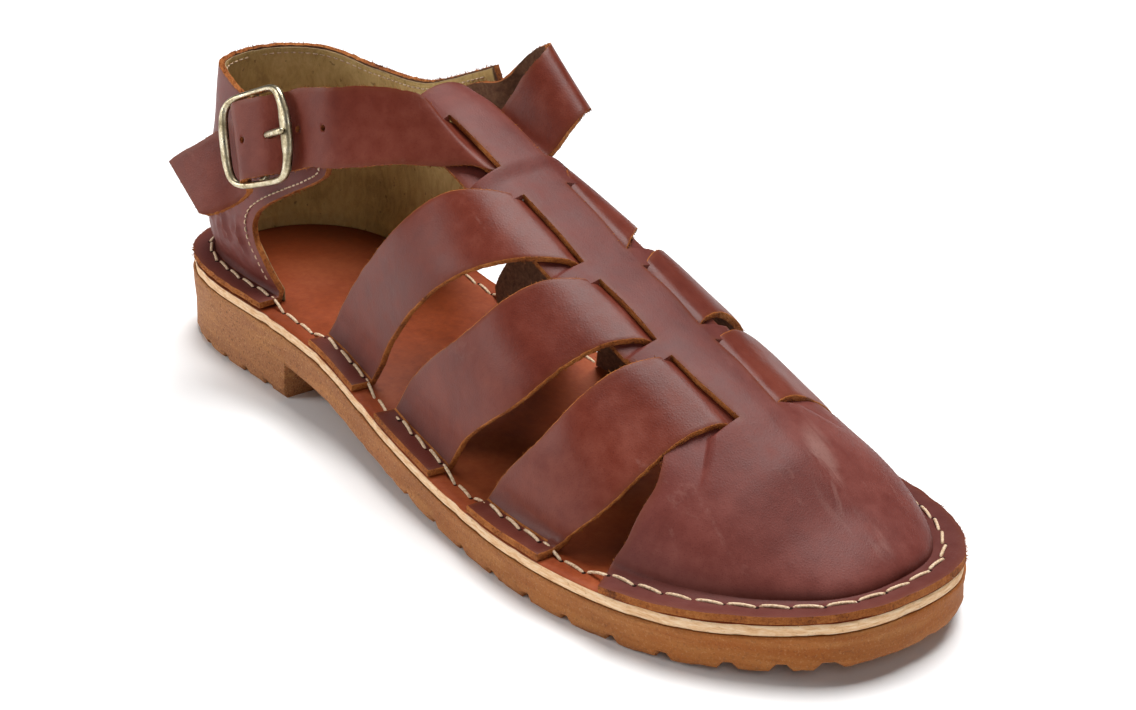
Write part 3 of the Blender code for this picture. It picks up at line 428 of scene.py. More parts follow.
def last_face(x, across):
    x, across = np.broadcast_arrays(np.asarray(x, float), np.asarray(across, float))
    low, high = outline_reach(FEATHER_INSET)
    x = np.clip(x, low, high)
    share = x / SOLE_LENGTH
    crest, side_full, top_full = (table_curve(LAST_SECTIONS, share, k) for k in (1, 2, 3))
    nose_start = TOE_ROUND_START * SOLE_LENGTH
    nose = np.clip((x - nose_start) / (high - nose_start), 0, 1)
    height = UPPER_HEIGHT * crest * np.sqrt(np.clip(1 - nose ** 2, 0, 1))
    angle = (1 - np.abs(across)) * math.pi / 2
    outer, inner = edge_at(x, OUTER, FEATHER_INSET)[1], edge_at(x, INNER, FEATHER_INSET)[1]
    middle = np.clip(crest_line(x), outer, inner)
    half = np.where(across < 0, outer, inner) - middle
    y = middle + half * np.clip(np.cos(angle), 0, 1) ** side_full
    z = flange_top(x) + height * np.clip(np.sin(angle), 0, 1) ** top_full
    return np.stack([x, y, z], -1)


def across_for(x, y):
    """Share across the last where its face stands at y."""
    x, y = np.broadcast_arrays(np.asarray(x, float), np.asarray(y, float))
    side = np.where(y < 0, OUTER, INNER)
    side_full = table_curve(LAST_SECTIONS, x / SOLE_LENGTH, 2)
    edge_y = np.where(y < 0, edge_at(x, OUTER, FEATHER_INSET)[1], edge_at(x, INNER, FEATHER_INSET)[1])
    half = edge_y - crest_line(x)
    reach = np.clip((y - crest_line(x)) / half, 0.0, 1.0)
    return side * (1 - np.arccos(reach ** (1 / side_full)) / (math.pi / 2))


def last_out(x, across):
    dx, da = 0.0004, 0.01
    along = last_face(x + dx, across) - last_face(x - dx, across)
    over = last_face(x, np.minimum(across + da, 1.0)) - last_face(x, np.maximum(across - da, -1.0))
    return unit(np.cross(along, over))


def lifted(x, across, lift):
    return last_face(x, across) + last_out(x, across) * np.asarray(lift)[..., None]


def flange_points(foot_x, side, leather, shares, slant=0.0):
    """Turned-out edge on the footbed: shares run from 0 at the feather line to 1 at its rim."""
    foot_x = np.asarray(foot_x, float)
    fx, fy, nx, ny = edge_at(foot_x, side, FEATHER_INSET)
    reach = (FEATHER_INSET - FLANGE_MARGIN) * np.asarray(shares)
    px = fx[..., None] + nx[..., None] * reach + np.asarray(slant)[..., None] * np.asarray(shares)
    py = fy[..., None] + ny[..., None] * reach
    return np.stack([px, py, flange_top(np.minimum(px, SOLE_LENGTH), leather)], -1)


# Meshes
def add_piece(name, mesh):
    piece = bpy.data.objects.new(name, mesh)
    bpy.context.scene.collection.objects.link(piece)
    return piece


def placed_mesh(name, bm, materials):
    """The mesh moved from the last's frame to the part's."""
    mesh = bpy.data.meshes.new(name)
    bm.to_mesh(mesh)
    bm.free()
    mesh.transform(Matrix.Translation(-Vector(PLACE)))
    for material in materials:
        mesh.materials.append(material)
    return mesh


def new_piece(name, bm, materials, sharp=None):
    mesh = placed_mesh(name, bm, materials)
    mesh.shade_smooth()
    if sharp:
        mesh.set_sharp_from_angle(angle=math.radians(sharp))
    piece = add_piece(name, mesh)
    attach(piece, "root")
    return piece


def add_mesh(target, part):
    """Moves all of part into target."""
    keep = bpy.data.meshes.new("part")
    part.to_mesh(keep)
    part.free()
    target.from_mesh(keep)
    bpy.data.meshes.remove(keep)


def grid_mesh(places, open_cells=None, around=False):
    """A grid laid on the given places, rows by columns; open cells are cut out of it."""
    rows, columns = places.shape[:2]
    bm = bmesh.new()
    bmesh.ops.create_grid(bm, x_segments=rows - 1, y_segments=columns - 1, size=1.0)
    kept = np.isfinite(places).all(-1)
    where = {vert: (round((vert.co.x + 1) / 2 * (rows - 1)), round((vert.co.y + 1) / 2 * (columns - 1)))
             for vert in bm.verts}
    cells, spare = [], []
    for face in bm.faces:
        i, j = (min(where[v][k] for v in face.verts) for k in (0, 1))
        if open_cells is not None and open_cells[i, j]:
            cells.append(face)
    for vert, (i, j) in where.items():
        if kept[i, j]:
            vert.co = places[i, j]
        else:
            spare.append(vert)
    bmesh.ops.delete(bm, geom=cells, context="FACES_ONLY")
    bmesh.ops.delete(bm, geom=spare, context="VERTS")
    if around:
        bmesh.ops.remove_doubles(bm, verts=bm.verts, dist=2 * WELD)
        bmesh.ops.dissolve_degenerate(bm, dist=WELD, edges=bm.edges)
        bmesh.ops.recalc_face_normals(bm, faces=bm.faces)
    else:
        bmesh.ops.remove_doubles(bm, verts=bm.verts, dist=WELD)
    bmesh.ops.delete(bm, geom=[v for v in bm.verts if not v.link_faces], context="VERTS")
    return bm


def leather_piece(name, places, thickness, materials, open_cells=None, edge_round=0.00035):
    """A sheet of leather: grain outside, flesh inside and a cut edge all round."""
    piece = new_piece(name, grid_mesh(places, open_cells), materials)
    wall = piece.modifiers.new("thickness", "SOLIDIFY")
    wall.thickness = thickness
    wall.offset = -1.0
    wall.use_quality_normals = True
    wall.material_offset = 1
    wall.material_offset_rim = 2
    round_edge = piece.modifiers.new("rounded_edges", "BEVEL")
    round_edge.width = edge_round
    round_edge.segments = 2
    round_edge.limit_method = "ANGLE"
    round_edge.angle_limit = math.radians(50)
    round_edge.use_clamp_overlap = True
    round_edge.material = 2
    return piece


def sheet_out(places):
    """Ways out of a sheet's grain face."""
    return unit(np.cross(np.gradient(places, axis=0), np.gradient(places, axis=1)))


def cut_line(places, out, rim, inner, depth=LEATHER, face=None):
    """One cut edge: its line, the line next to it inside, the ways out of the grain face and its depth."""
    return places[rim], places[inner], out[rim if face is None else face], depth


def fringe(name, edges, material, per_metre, length, seed):
    """Loose fibres standing off cut edges."""
    draw = np.random.default_rng(seed)
    bm = bmesh.new()
    for line, inside, out, depth in edges:
        run = run_along(line)
        for place in draw.uniform(0, run[-1], int(run[-1] * per_metre)):
            root, near, face = (read_at(run, values, place) for values in (line, inside, out))
            away, face = unit(root - near), unit(face)
            root = root - face * depth * draw.uniform(0.02, 0.9) - away * FIBRE_SUNK
            way = unit(away + unit(draw.normal(size=3)) * 0.75)
            reach = length * draw.uniform(0.35, 1.0) ** 1.5
            turn = Vector(way).to_track_quat("Z", "Y").to_matrix().to_4x4()
            bmesh.ops.create_cone(bm, segments=3, radius1=FIBRE_ROOT, radius2=FIBRE_TIP, depth=reach,
                                  matrix=Matrix.Translation(root + way * reach * 0.4) @ turn)
    return new_piece(name, bm, [material])


# Materials
class Finish:
    """A Principled material whose patterns read Object coordinates."""

    def __init__(self, name, roughness, metallic=0.0, specular=0.5):
        self.material = bpy.data.materials.new(name)
        self.material.use_nodes = True
        tree = self.material.node_tree
        self.nodes, self.links = tree.nodes, tree.links
        self.shader = self.nodes["Principled BSDF"]
        self.shader.inputs["Roughness"].default_value = roughness
        self.shader.inputs["Metallic"].default_value = metallic
        self.shader.inputs["Specular IOR Level"].default_value = specular
        self.coords = self.nodes.new("ShaderNodeTexCoord").outputs["Object"]

    def put(self, socket, value):
        if isinstance(value, bpy.types.NodeSocket):
            self.links.new(value, socket)
        else:
            socket.default_value = value

    def stretched(self, scale, turn=(0.0, 0.0, 0.0)):
        node = self.nodes.new("ShaderNodeMapping")
        self.links.new(self.coords, node.inputs["Vector"])
        node.inputs["Scale"].default_value = scale
        node.inputs["Rotation"].default_value = turn
        return node.outputs["Vector"]

    def noise(self, scale, detail=4.0, rough=0.55, distortion=0.0, coords=None):
        node = self.nodes.new("ShaderNodeTexNoise")
        self.links.new(coords or self.coords, node.inputs["Vector"])
        node.inputs["Scale"].default_value = scale
        node.inputs["Detail"].default_value = detail
        node.inputs["Roughness"].default_value = rough
        node.inputs["Distortion"].default_value = distortion
        return node.outputs["Fac"]

    def cells(self, scale, feature="F1"):
        node = self.nodes.new("ShaderNodeTexVoronoi")
        node.feature = feature
        self.links.new(self.coords, node.inputs["Vector"])
        node.inputs["Scale"].default_value = scale
        return node.outputs["Distance"]

    def axis(self, index):
        node = self.nodes.new("ShaderNodeSeparateXYZ")
        self.links.new(self.coords, node.inputs[0])
        return node.outputs[index]

    def attribute(self, name):
        node = self.nodes.new("ShaderNodeAttribute")
        node.attribute_name = name
        return node.outputs["Fac"]

    def span(self, value, low, high, to_low=0.0, to_high=1.0):
        node = self.nodes.new("ShaderNodeMapRange")
        node.interpolation_type = "SMOOTHSTEP"
        self.put(node.inputs["Value"], value)
        for key, number in (("From Min", low), ("From Max", high), ("To Min", to_low), ("To Max", to_high)):
            self.put(node.inputs[key], number)
        return node.outputs["Result"]

    def math(self, operation, a, b):
        node = self.nodes.new("ShaderNodeMath")
        node.operation = operation
        self.put(node.inputs[0], a)
        self.put(node.inputs[1], b)
        return node.outputs[0]

    def mix(self, amount, a, b):
        node = self.nodes.new("ShaderNodeMix")
        node.data_type = "RGBA"
        self.put(node.inputs["Factor"], amount)
        self.put(node.inputs["A"], a if isinstance(a, bpy.types.NodeSocket) else (*a, 1.0))
        self.put(node.inputs["B"], b if isinstance(b, bpy.types.NodeSocket) else (*b, 1.0))
        return node.outputs["Result"]

    def ramp(self, value, stops):
        node = self.nodes.new("ShaderNodeValToRGB")
        self.put(node.inputs["Fac"], value)
        while len(node.color_ramp.elements) < len(stops):
            node.color_ramp.elements.new(0.5)
        for element, (place, color) in zip(node.color_ramp.elements, stops):
            element.position = place
            element.color = (*color, 1.0)
        return node.outputs["Color"]

    def patch(self, centre, turn, reach):
        """1 at the centre of an oval spot, fading to 0 at its reach."""
        place = self.nodes.new("ShaderNodeMapping")
        place.vector_type = "TEXTURE"
        self.links.new(self.coords, place.inputs["Vector"])
        place.inputs["Location"].default_value = centre
        place.inputs["Rotation"].default_value = (0.0, 0.0, turn)
        place.inputs["Scale"].default_value = reach
        node = self.nodes.new("ShaderNodeTexGradient")
        node.gradient_type = "SPHERICAL"
        self.links.new(place.outputs["Vector"], node.inputs["Vector"])
        return node.outputs["Fac"]

    def bump(self, height, strength, distance, below=None):
        node = self.nodes.new("ShaderNodeBump")
        node.inputs["Strength"].default_value = strength
        node.inputs["Distance"].default_value = distance
        self.put(node.inputs["Height"], height)
        if below is not None:
            self.links.new(below, node.inputs["Normal"])
        return node.outputs["Normal"]

    def done(self, color, roughness=None, normal=None):
        self.put(self.shader.inputs["Base Color"], color)
        if roughness is not None:
            self.put(self.shader.inputs["Roughness"], roughness)
        if normal is not None:
            self.put(self.shader.inputs["Normal"], normal)
        return self.material


def grain_leather(name, dark, mid, light, dull):
    """Waxed leather: wine red-brown, paler where it is stretched or scuffed, with painted shade low down at
    the footbed.
    """
    f = Finish(name, 0.42, specular=0.19)
    clouds = f.noise(22.0, 4.0, 0.55)
    mottle = f.noise(190.0, 5.0, 0.62)
    tone = f.math("ADD", f.math("MULTIPLY", clouds, 0.62), f.math("MULTIPLY", mottle, 0.38))
    color = f.ramp(tone, ((0.30, dark), (0.50, mid), (0.70, light)))
    streaks = f.noise(26.0, 6.0, 0.72, 0.8, coords=f.stretched((1.0, 5.0, 2.0), (0.5, 0.2, 0.7)))
    scuffs = f.math("MULTIPLY", f.span(streaks, 0.58, 0.72), f.span(f.noise(520.0, 3.0), 0.40, 0.66))
    color = f.mix(f.math("MULTIPLY", scuffs, 0.20), color, (0.38, 0.20, 0.165))
    smear = f.noise(60.0, 5.0, 0.65, 0.6, coords=f.stretched((0.6, 2.6, 1.0), (0.0, 0.0, 0.2)))
    smear = f.span(smear, 0.38, 0.62)
    for centre, turn, reach in RUBBED_TOE:
        rub = f.math("MULTIPLY", f.span(f.patch(centre, turn, reach), 0.05, 0.75), smear)
        color = f.mix(f.math("MULTIPLY", rub, 0.42), color, (0.36, 0.205, 0.175))
    pores = f.cells(1300.0)
    color = f.mix(f.span(pores, 0.10, 0.36, 0.30, 0.0), color, dark)
    worn = f.attribute("edge_wear")
    # Painted shade: leather darkened low down where it meets the footbed, where shade falls in the corner
    color = f.mix(f.math("MULTIPLY", f.attribute("painted_foot_shade"), 0.52), color, (0.058, 0.010, 0.007))
    color = f.mix(f.math("MULTIPLY", worn, 0.55), color, (0.150, 0.036, 0.014))
    fine = f.bump(f.cells(1300.0, "DISTANCE_TO_EDGE"), 0.24, 0.00022)
    wrinkle = f.bump(f.noise(520.0, 5.0, 0.62), 0.07, 0.0006, fine)
    creases = f.bump(f.noise(80.0, 4.0, 0.5, 0.8), 0.10, 0.0016, wrinkle)
    uneven = f.math("ADD", f.math("MULTIPLY", mottle, 0.7), f.math("MULTIPLY", scuffs, 0.4))
    return f.done(color, f.span(uneven, 0.25, 0.75, dull - 0.07, dull + 0.12), creases)


def flesh_side(name):
    """Brown nap of the leather's back."""
    f = Finish(name, 0.92, specular=0.2)
    nap = f.noise(700.0, 5.0, 0.7, 0.4)
    stops = ((0.30, (0.070, 0.032, 0.018)), (0.55, (0.15, 0.070, 0.038)), (0.80, (0.24, 0.125, 0.065)))
    return f.done(f.ramp(nap, stops), 0.92, f.bump(nap, 0.5, 0.0005))


def cut_edge(name, bright=(0.345, 0.100, 0.019), dark=(0.070, 0.016, 0.008)):
    """Raw cut edge: loose fibres, rust coloured and burnt in places."""
    f = Finish(name, 0.85, specular=0.25)
    fibres = f.noise(1500.0, 5.0, 0.75, 0.5)
    burnt = f.noise(130.0, 4.0, 0.6)
    tone = f.math("ADD", f.math("MULTIPLY", fibres, 0.55), f.math("MULTIPLY", burnt, 0.45))
    color = f.ramp(tone, ((0.34, dark), (0.50, bright), (0.72, (0.54, 0.225, 0.062))))
    return f.done(color, 0.86, f.bump(fibres, 0.8, 0.0006))


def napped_lining():
    """Olive brushed lining with streaks of its nap running down, and painted shade lower down inside the
    heel.
    """
    f = Finish("napped_lining", 0.95, specular=0.15)
    streaks = f.noise(150.0, 6.0, 0.75, 0.9, coords=f.stretched((2.3, 2.3, 0.9)))
    patches = f.noise(38.0, 4.0, 0.6)
    tone = f.math("ADD", f.math("MULTIPLY", streaks, 0.5), f.math("MULTIPLY", patches, 0.5))
    stops = ((0.30, (0.24, 0.155, 0.053)), (0.50, (0.52, 0.355, 0.140)), (0.70, (0.72, 0.53, 0.25)))
    color = f.ramp(tone, stops)
    # Painted shade: darker towards the bottom of the lining, deep inside the heel where shade falls
    color = f.mix(f.span(f.axis(2), 0.020, 0.080, 0.24, 0.0), color, (0.23, 0.145, 0.055))
    color = f.mix(f.span(f.noise(420.0, 2.0, 0.5), 0.66, 0.74, 0.0, 0.55), color, (0.10, 0.060, 0.024))
    fluff = f.noise(1400.0, 4.0, 0.7)
    return f.done(color, 0.95, f.bump(fluff, 0.55, 0.0005, f.bump(streaks, 0.3, 0.0008)))


def footbed_leather():
    """Rust-coloured smooth leather, with painted shade darkening it towards the heel, where the counter
    shades it.
    """
    f = Finish("footbed_leather", 0.42, specular=0.2)
    clouds = f.noise(26.0, 4.0, 0.6)
    fine = f.noise(480.0, 4.0, 0.6)
    tone = f.math("ADD", f.math("MULTIPLY", clouds, 0.65), f.math("MULTIPLY", fine, 0.35))
    stops = ((0.32, (0.165, 0.028, 0.009)), (0.52, (0.262, 0.049, 0.013)), (0.74, (0.360, 0.088, 0.027)))
    color = f.ramp(tone, stops)
    # Painted shade: darker towards the heel end, where the counter shades the footbed
    color = f.mix(f.span(f.axis(0), -0.115, -0.030, 0.42, 0.0), color, (0.100, 0.018, 0.006))
    grain = f.bump(f.cells(1100.0, "DISTANCE_TO_EDGE"), 0.12, 0.0002)
    return f.done(color, f.span(clouds, 0.3, 0.7, 0.30, 0.48), f.bump(fine, 0.10, 0.0006, grain))


def pale_edge():
    """Undyed cut edge of the footbed."""
    f = Finish("footbed_edge", 0.75, specular=0.3)
    layers = f.noise(260.0, 4.0, 0.65, coords=f.stretched((1.0, 1.0, 5.0)))
    spots = f.noise(900.0, 3.0, 0.6)
    stops = ((0.28, (0.56, 0.27, 0.110)), (0.46, (0.76, 0.48, 0.260)), (0.66, (0.86, 0.64, 0.42)))
    color = f.mix(f.span(spots, 0.60, 0.74, 0.0, 0.5), f.ramp(layers, stops), (0.42, 0.20, 0.09))
    return f.done(color, 0.75, f.bump(layers, 0.4, 0.0004))


def speckled_rubber():
    """Natural rubber with ground specks in it, more honey coloured towards the toe."""
    f = Finish("speckled_rubber", 0.72, specular=0.35)
    along = f.span(f.axis(0), -0.12, 0.14)
    base = f.mix(along, (0.345, 0.135, 0.050), (0.335, 0.092, 0.010))
    clouds = f.noise(28.0, 4.0, 0.6)
    color = f.mix(f.span(clouds, 0.35, 0.70, 0.0, 0.55), base, (0.235, 0.082, 0.020))
    layers = f.noise(50.0, 4.0, 0.6, 0.5, coords=f.stretched((0.7, 0.7, 6.0)))
    color = f.mix(f.span(layers, 0.35, 0.70, 0.0, 0.45), color, (0.50, 0.215, 0.060))
    specks = f.noise(1700.0, 2.0, 0.6)
    coarse = f.span(f.axis(0), -0.10, 0.12, 1.0, 0.45)
    pale = f.math("MULTIPLY", f.span(specks, 0.54, 0.70, 0.0, 0.48), coarse)
    color = f.mix(pale, color, (0.62, 0.35, 0.15))
    soot = f.span(f.noise(1400.0, 2.0, 0.5, 0.3), 0.55, 0.68, 0.0, 0.70)
    color = f.mix(f.math("MULTIPLY", soot, coarse), color, (0.120, 0.042, 0.014))
    rough = f.noise(1100.0, 4.0, 0.7)
    return f.done(color, 0.74, f.bump(rough, 0.55, 0.0007, f.bump(f.noise(150.0, 3.0), 0.3, 0.0012)))


def thread_finish():
    """Waxed thread the colour of sand."""
    f = Finish("waxed_thread", 0.6, specular=0.35)
    twist = f.noise(1500.0, 3.0, 0.6)
    stops = ((0.30, (0.38, 0.225, 0.115)), (0.52, (0.68, 0.49, 0.315)), (0.75, (0.84, 0.70, 0.53)))
    return f.done(f.ramp(twist, stops), 0.6, f.bump(twist, 0.6, 0.0003))


def old_brass():
    """Antique brass: brown in its hollows, rubbed bright on its high places."""
    f = Finish("antique_brass", 0.33, metallic=1.0)
    patina = f.noise(230.0, 5.0, 0.65, 0.4)
    fine = f.noise(1600.0, 3.0, 0.6)
    tone = f.math("ADD", f.math("MULTIPLY", patina, 0.7), f.math("MULTIPLY", fine, 0.3))
    stops = ((0.34, (0.20, 0.155, 0.085)), (0.50, (0.47, 0.40, 0.26)), (0.66, (0.74, 0.68, 0.53)))
    hollow = f.math("MULTIPLY", f.attribute("hollow"), f.span(patina, 0.30, 0.60, 1.0, 0.65))
    color = f.mix(hollow, f.ramp(tone, stops), (0.050, 0.034, 0.016))
    return f.done(color, f.span(tone, 0.35, 0.65, 0.50, 0.26), f.bump(tone, 0.35, 0.0004))


def painted_hole_shade():
    """Painted shade for the inside of an awl hole: nearly black."""
    f = Finish("awl_hole_shade", 0.95, specular=0.1)
    return f.done(f.ramp(f.noise(900.0), ((0.3, (0.012, 0.005, 0.004)), (0.7, (0.035, 0.014, 0.010)))))


def give_attribute(piece, name, values):
    """A number at each vertex, read by the materials."""
    layer = piece.data.attributes.new(name, "FLOAT", "POINT")
    layer.data.foreach_set("value", np.asarray(values, np.float32))


def edge_wear_and_foot_shade(piece):
    """Marks for the materials: edge_wear is 1 at a cut edge; the foot mask is 1 down at the footbed, for
    painted shade in the corner against it.
    """
    bm = bmesh.new()
    bm.from_mesh(piece.data)
    rim = [v.co.copy() for v in bm.verts if v.is_boundary]
    tree = KDTree(len(rim))
    for k, place in enumerate(rim):
        tree.insert(place, k)
    tree.balance()
    values = [max(0.0, 1 - tree.find(v.co)[2] / EDGE_WEAR_REACH) ** 2 for v in bm.verts]
    places = np.array([v.co for v in bm.verts]) + PLACE
    bm.free()
    give_attribute(piece, "edge_wear", values)
    above = places[:, 2] - flange_top(np.clip(places[:, 0], 0.0, SOLE_LENGTH))
    give_attribute(piece, "painted_foot_shade", 1 - ease(above / FOOT_SHADE_HEIGHT))


# Vamp: centre strip and toe cap
def slits():
    """Start and end of each pair of slits along the strip: the ankle strap's, then the cross straps'."""
    half = (ANKLE_STRAP_WIDTH / 2 + ANKLE_SLIT_ROOM) * math.cos(math.atan(INSTEP_SLOPE))
    centre = ANKLE_SLIT_CENTRE * SOLE_LENGTH
    return [(centre - half, centre + half)] + [(s["slit"][0] * SOLE_LENGTH, s["slit"][1] * SOLE_LENGTH)
                                               for s in CROSS_STRAPS.values()]


@functools.lru_cache(maxsize=None)
def middle_curve():
    ranges = slits()
    stations = [(STRIP_TOP_END * SOLE_LENGTH, LIFT_AT_STRIP_END), (ranges[0][0], LEATHER + CLEARANCE / 2),
                (ranges[0][1], LEATHER + CLEARANCE / 2)]
    for before, after in zip(ranges[:-1], ranges[1:]):
        stations.append(((before[1] + after[0]) / 2, LIFT_BETWEEN_STRAPS))
        stations.append(((after[0] + after[1]) / 2, LIFT_OVER_STRAP))
    end = ranges[-1][1]
    return stations + [(end + past, lift) for past, lift in LIFT_PAST_SLITS]


def along_sole(span, share):
    """Place between two shares of the sole's length."""
    return SOLE_LENGTH * (span[0] * (1 - share) + span[1] * share)


def middle_lift(x):
    """Rise of the strip's middle over the straps: highest over each strap, never flat between."""
    return table_curve(middle_curve(), x)


def strap_lift(x, y):
    """A cross strap goes under the strip's middle, over its margins and down onto the last."""
    y = np.abs(y)
    under = middle_lift(x) - LEATHER - STRAP_REST
    over = STRAP_OVER_MARGIN * ease((STRAP_DOWN_AT - y) / STRAP_DOWN_RUN)
    share = ease((y - STRIP_MIDDLE_WIDTH / 2 + STRAP_RISE_START) / STRAP_RISE_RUN)
    return under * (1 - share) + over * share


def margin_lift(x, y):
    """Outside the slits the margins are one with the middle; beside a slit they go under the strap."""
    y = np.minimum(np.abs(y), STRIP_WIDTH / 2)
    out = (y - STRIP_MIDDLE_WIDTH / 2) / (STRIP_WIDTH / 2 - STRIP_MIDDLE_WIDTH / 2)
    total = middle_lift(x) * (1 - MARGIN_FALL * np.clip(out, 0, 1))
    for k, (start, end) in enumerate(slits()):
        low = -ANKLE_MARGIN_DROP if k == 0 else strap_lift(x, y) - LEATHER - STRAP_REST
        share = ease(np.minimum(x - start + SLIT_RUN_OUT, end + SLIT_RUN_OUT - x) / SLIT_RAMP)
        total = total * (1 - share) + low * share
    return total


def cap_edge(out):
    return SOLE_LENGTH * table_curve(CAP_REAR_EDGE, out)


def rows_between(marks):
    """Even rows from the first mark to the last, one on each mark but the last."""
    return np.concatenate([np.linspace(a, b, max(3, int(round((b - a) / VAMP_ROW_STEP))), endpoint=False)
                           for a, b in zip(marks[:-1], marks[1:])])


def vamp_rows(rear, nose):
    """Rows of the strip and of the cap: one stands at each slit's end, each ramp and the cap's rear edge."""
    ramp = SLIT_RAMP - SLIT_RUN_OUT
    marks = {STRIP_TOP_END * SOLE_LENGTH, rear}
    for start, end in slits():
        marks |= {round(v, 6) for v in (start - SLIT_RUN_OUT, start + ramp, end - ramp, end + SLIT_RUN_OUT)}
    marks = sorted(marks)
    strip_x = rows_between(marks)
    near = [rear] + [v for v in marks if v > rear + 0.0002]
    steps = np.linspace(0.0, 1.0, CAP_ROWS)
    cap_x = np.concatenate([rows_between(near), near[-1] + (nose - near[-1]) * (1 - (1 - steps) ** 1.8)])
    return strip_x[strip_x < rear - 0.0004], cap_x


def strip_places(rows_x, strip_y, is_middle):
    """The strip behind the cap, narrowed to a round end at its top."""
    into = np.clip((rows_x - STRIP_TOP_END * SOLE_LENGTH) / STRIP_TOP_ROUND, 0, 1)
    narrow = STRIP_TOP_NARROW + (1 - STRIP_TOP_NARROW) * np.sqrt(1 - (1 - into) ** 2)
    y = strip_y[None, :] * narrow[:, None]
    x = np.repeat(rows_x[:, None], len(strip_y), 1)
    return lifted(x, across_for(x, y), np.where(is_middle[None, :], middle_lift(x), margin_lift(x, y)))


def cap_places(rows_x, strip_y, is_middle, rear, nose):
    """The cap and its turned-out edges: rows bend from its rear edge to a point at the nose."""
    strip_across = across_for(rear, strip_y)
    sides = np.array(CAP_SIDE_SHARES)
    shares = np.concatenate([-sides, strip_across, sides[::-1]])
    out = np.clip((np.abs(shares) - abs(strip_across[0])) / (1 - abs(strip_across[0])), 0, 1)
    step = ((rows_x - rear) / (nose - rear))[:, None]
    edge_x = cap_edge(out)[None, :]
    x = edge_x + (nose - edge_x) * step
    middle = np.pad(is_middle, len(sides))
    row_x = np.repeat(rows_x[:, None], len(shares), 1)
    across = np.repeat(shares[None, :], len(rows_x), 0)
    row_y = last_face(row_x, across)[..., 1]
    fade = np.clip(1 - out * CAP_DIP_FADE, 0, 1)[None, :]
    lift = np.where(middle[None, :], middle_lift(row_x), margin_lift(row_x, row_y)) * fade
    body = lifted(np.minimum(x, nose - 0.00005), across, lift)
    body[-1] = last_face(nose, 1.0)
    foot = cap_edge(1.0) + (nose - cap_edge(1.0)) * step[:, 0]
    slant = CAP_FLANGE_SLANT * (1 - step[:, 0]) ** 4
    flange = np.array(CAP_FLANGE_SHARES)
    places = np.concatenate([flange_points(foot, OUTER, LEATHER, flange, slant), body,
                             flange_points(foot, INNER, LEATHER, flange[::-1], slant)], axis=1)
    for rim_at, inner_at in ((0, 1), (-1, -2)):
        rim = places[:, rim_at]
        rim += (rim - places[:, inner_at]) * uneven(rim, CAP_RIM_WAVES, 17)[:, None]
    return places


def vamp_cut_edges(places, all_x, first, lead, last_middle):
    """Cut edges of the vamp: the slits, the cap's rear edge, its turned-out rim and the strip's sides."""
    out = sheet_out(np.nan_to_num(places))
    columns = places.shape[1]
    first_middle = lead + MARGIN_COLUMNS
    edges = []
    for start, end in slits():
        hit = np.flatnonzero((all_x > start - 0.0004) & (all_x < end + 0.0004))
        for rim, inner in ((first_middle, first_middle + 1), (last_middle, last_middle - 1)):
            edges.append(cut_line(places, out, (hit, rim), (hit, inner)))
    for part in (slice(0, lead), slice(columns - lead, columns)):
        inside = (first + 1, part)
        edges.append(cut_line(places, out, (first, part), inside, face=inside))
    rows = slice(first, -3)
    for rim, inner in ((0, 1), (-1, -2)):
        edges.append(cut_line(places, out, (rows, rim), (rows, inner)))
    rows = slice(0, first)
    for rim, inner in ((lead, lead + 1), (columns - lead - 1, columns - lead - 2)):
        edges.append(cut_line(places, out, (rows, rim), (rows, inner), face=(rows, inner)))
    return edges


def build_vamp(materials):
    middle, half_slit = STRIP_MIDDLE_WIDTH / 2, SLIT_WIDTH / 2
    margin = np.linspace(STRIP_WIDTH / 2, middle + half_slit, MARGIN_COLUMNS)
    centre = np.linspace(-middle + half_slit, middle - half_slit, MIDDLE_COLUMNS)
    strip_y = np.concatenate([-margin, centre, margin[::-1]])
    is_middle = np.abs(strip_y) < middle
    rear = float(cap_edge(0.0))
    nose = outline_reach(FEATHER_INSET)[1]
    strip_x, cap_x = vamp_rows(rear, nose)
    cap = cap_places(cap_x, strip_y, is_middle, rear, nose)
    first = len(strip_x)
    lead = len(CAP_FLANGE_SHARES) + len(CAP_SIDE_SHARES)
    places = np.full((first + len(cap_x), cap.shape[1], 3), np.nan)
    places[:first, lead:lead + len(strip_y)] = strip_places(strip_x, strip_y, is_middle)
    places[first:] = cap
    places[..., 2] += uneven(np.nan_to_num(places), VAMP_WAVES, 4)

    all_x = np.concatenate([strip_x, cap_x])
    last_middle = lead + MARGIN_COLUMNS + MIDDLE_COLUMNS - 1
    open_cells = np.zeros(places.shape[:2], bool)
    for start, end in slits():
        hit = (all_x > start - SLIT_RUN_OUT - 0.00005) & (all_x < end + SLIT_RUN_OUT - 0.00005)
        for slit_column in (lead + MARGIN_COLUMNS - 1, last_middle):
            open_cells[hit, slit_column] = True
    piece = leather_piece("toe_cap_and_strip", places, LEATHER, materials, open_cells)
    edge_wear_and_foot_shade(piece)
    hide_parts("upper")
    return vamp_cut_edges(places, all_x, first, lead, last_middle)


def strap_edge(slit_x, foot_x, bend, share):
    first, second = bend
    reach = share + first * share * (1 - share) + second * share * (1 - share) * (1 - 2 * share)
    return slit_x + (foot_x - slit_x) * reach


def strap_leg(slit_x, over, sizes, side, foot):
    """Half of a cross strap, from the strip's middle down to its foot, turned outward on the footbed."""
    foot_x = along_sole(foot, over)
    start = across_for(slit_x, side * STRIP_MIDDLE_WIDTH / 2)
    share = np.linspace(0.0, 1.0, STRAP_STEPS)[None, 1:-1]
    x = strap_edge(slit_x[:, None], foot_x[:, None], sizes["bend"], share)
    across = start[:, None] + (side - start[:, None]) * share
    crown = 1 - (2 * over - 1) ** 4
    arch = STRAP_ARCH * crown[:, None] * np.sin(ease((share - 0.25) / 0.75) * math.pi)
    leg = lifted(x, across, strap_lift(x, last_face(x, across)[..., 1]) + arch)
    return np.concatenate([leg, flange_points(foot_x, side, LEATHER, np.array(STRAP_FLANGE_SHARES))], axis=1)


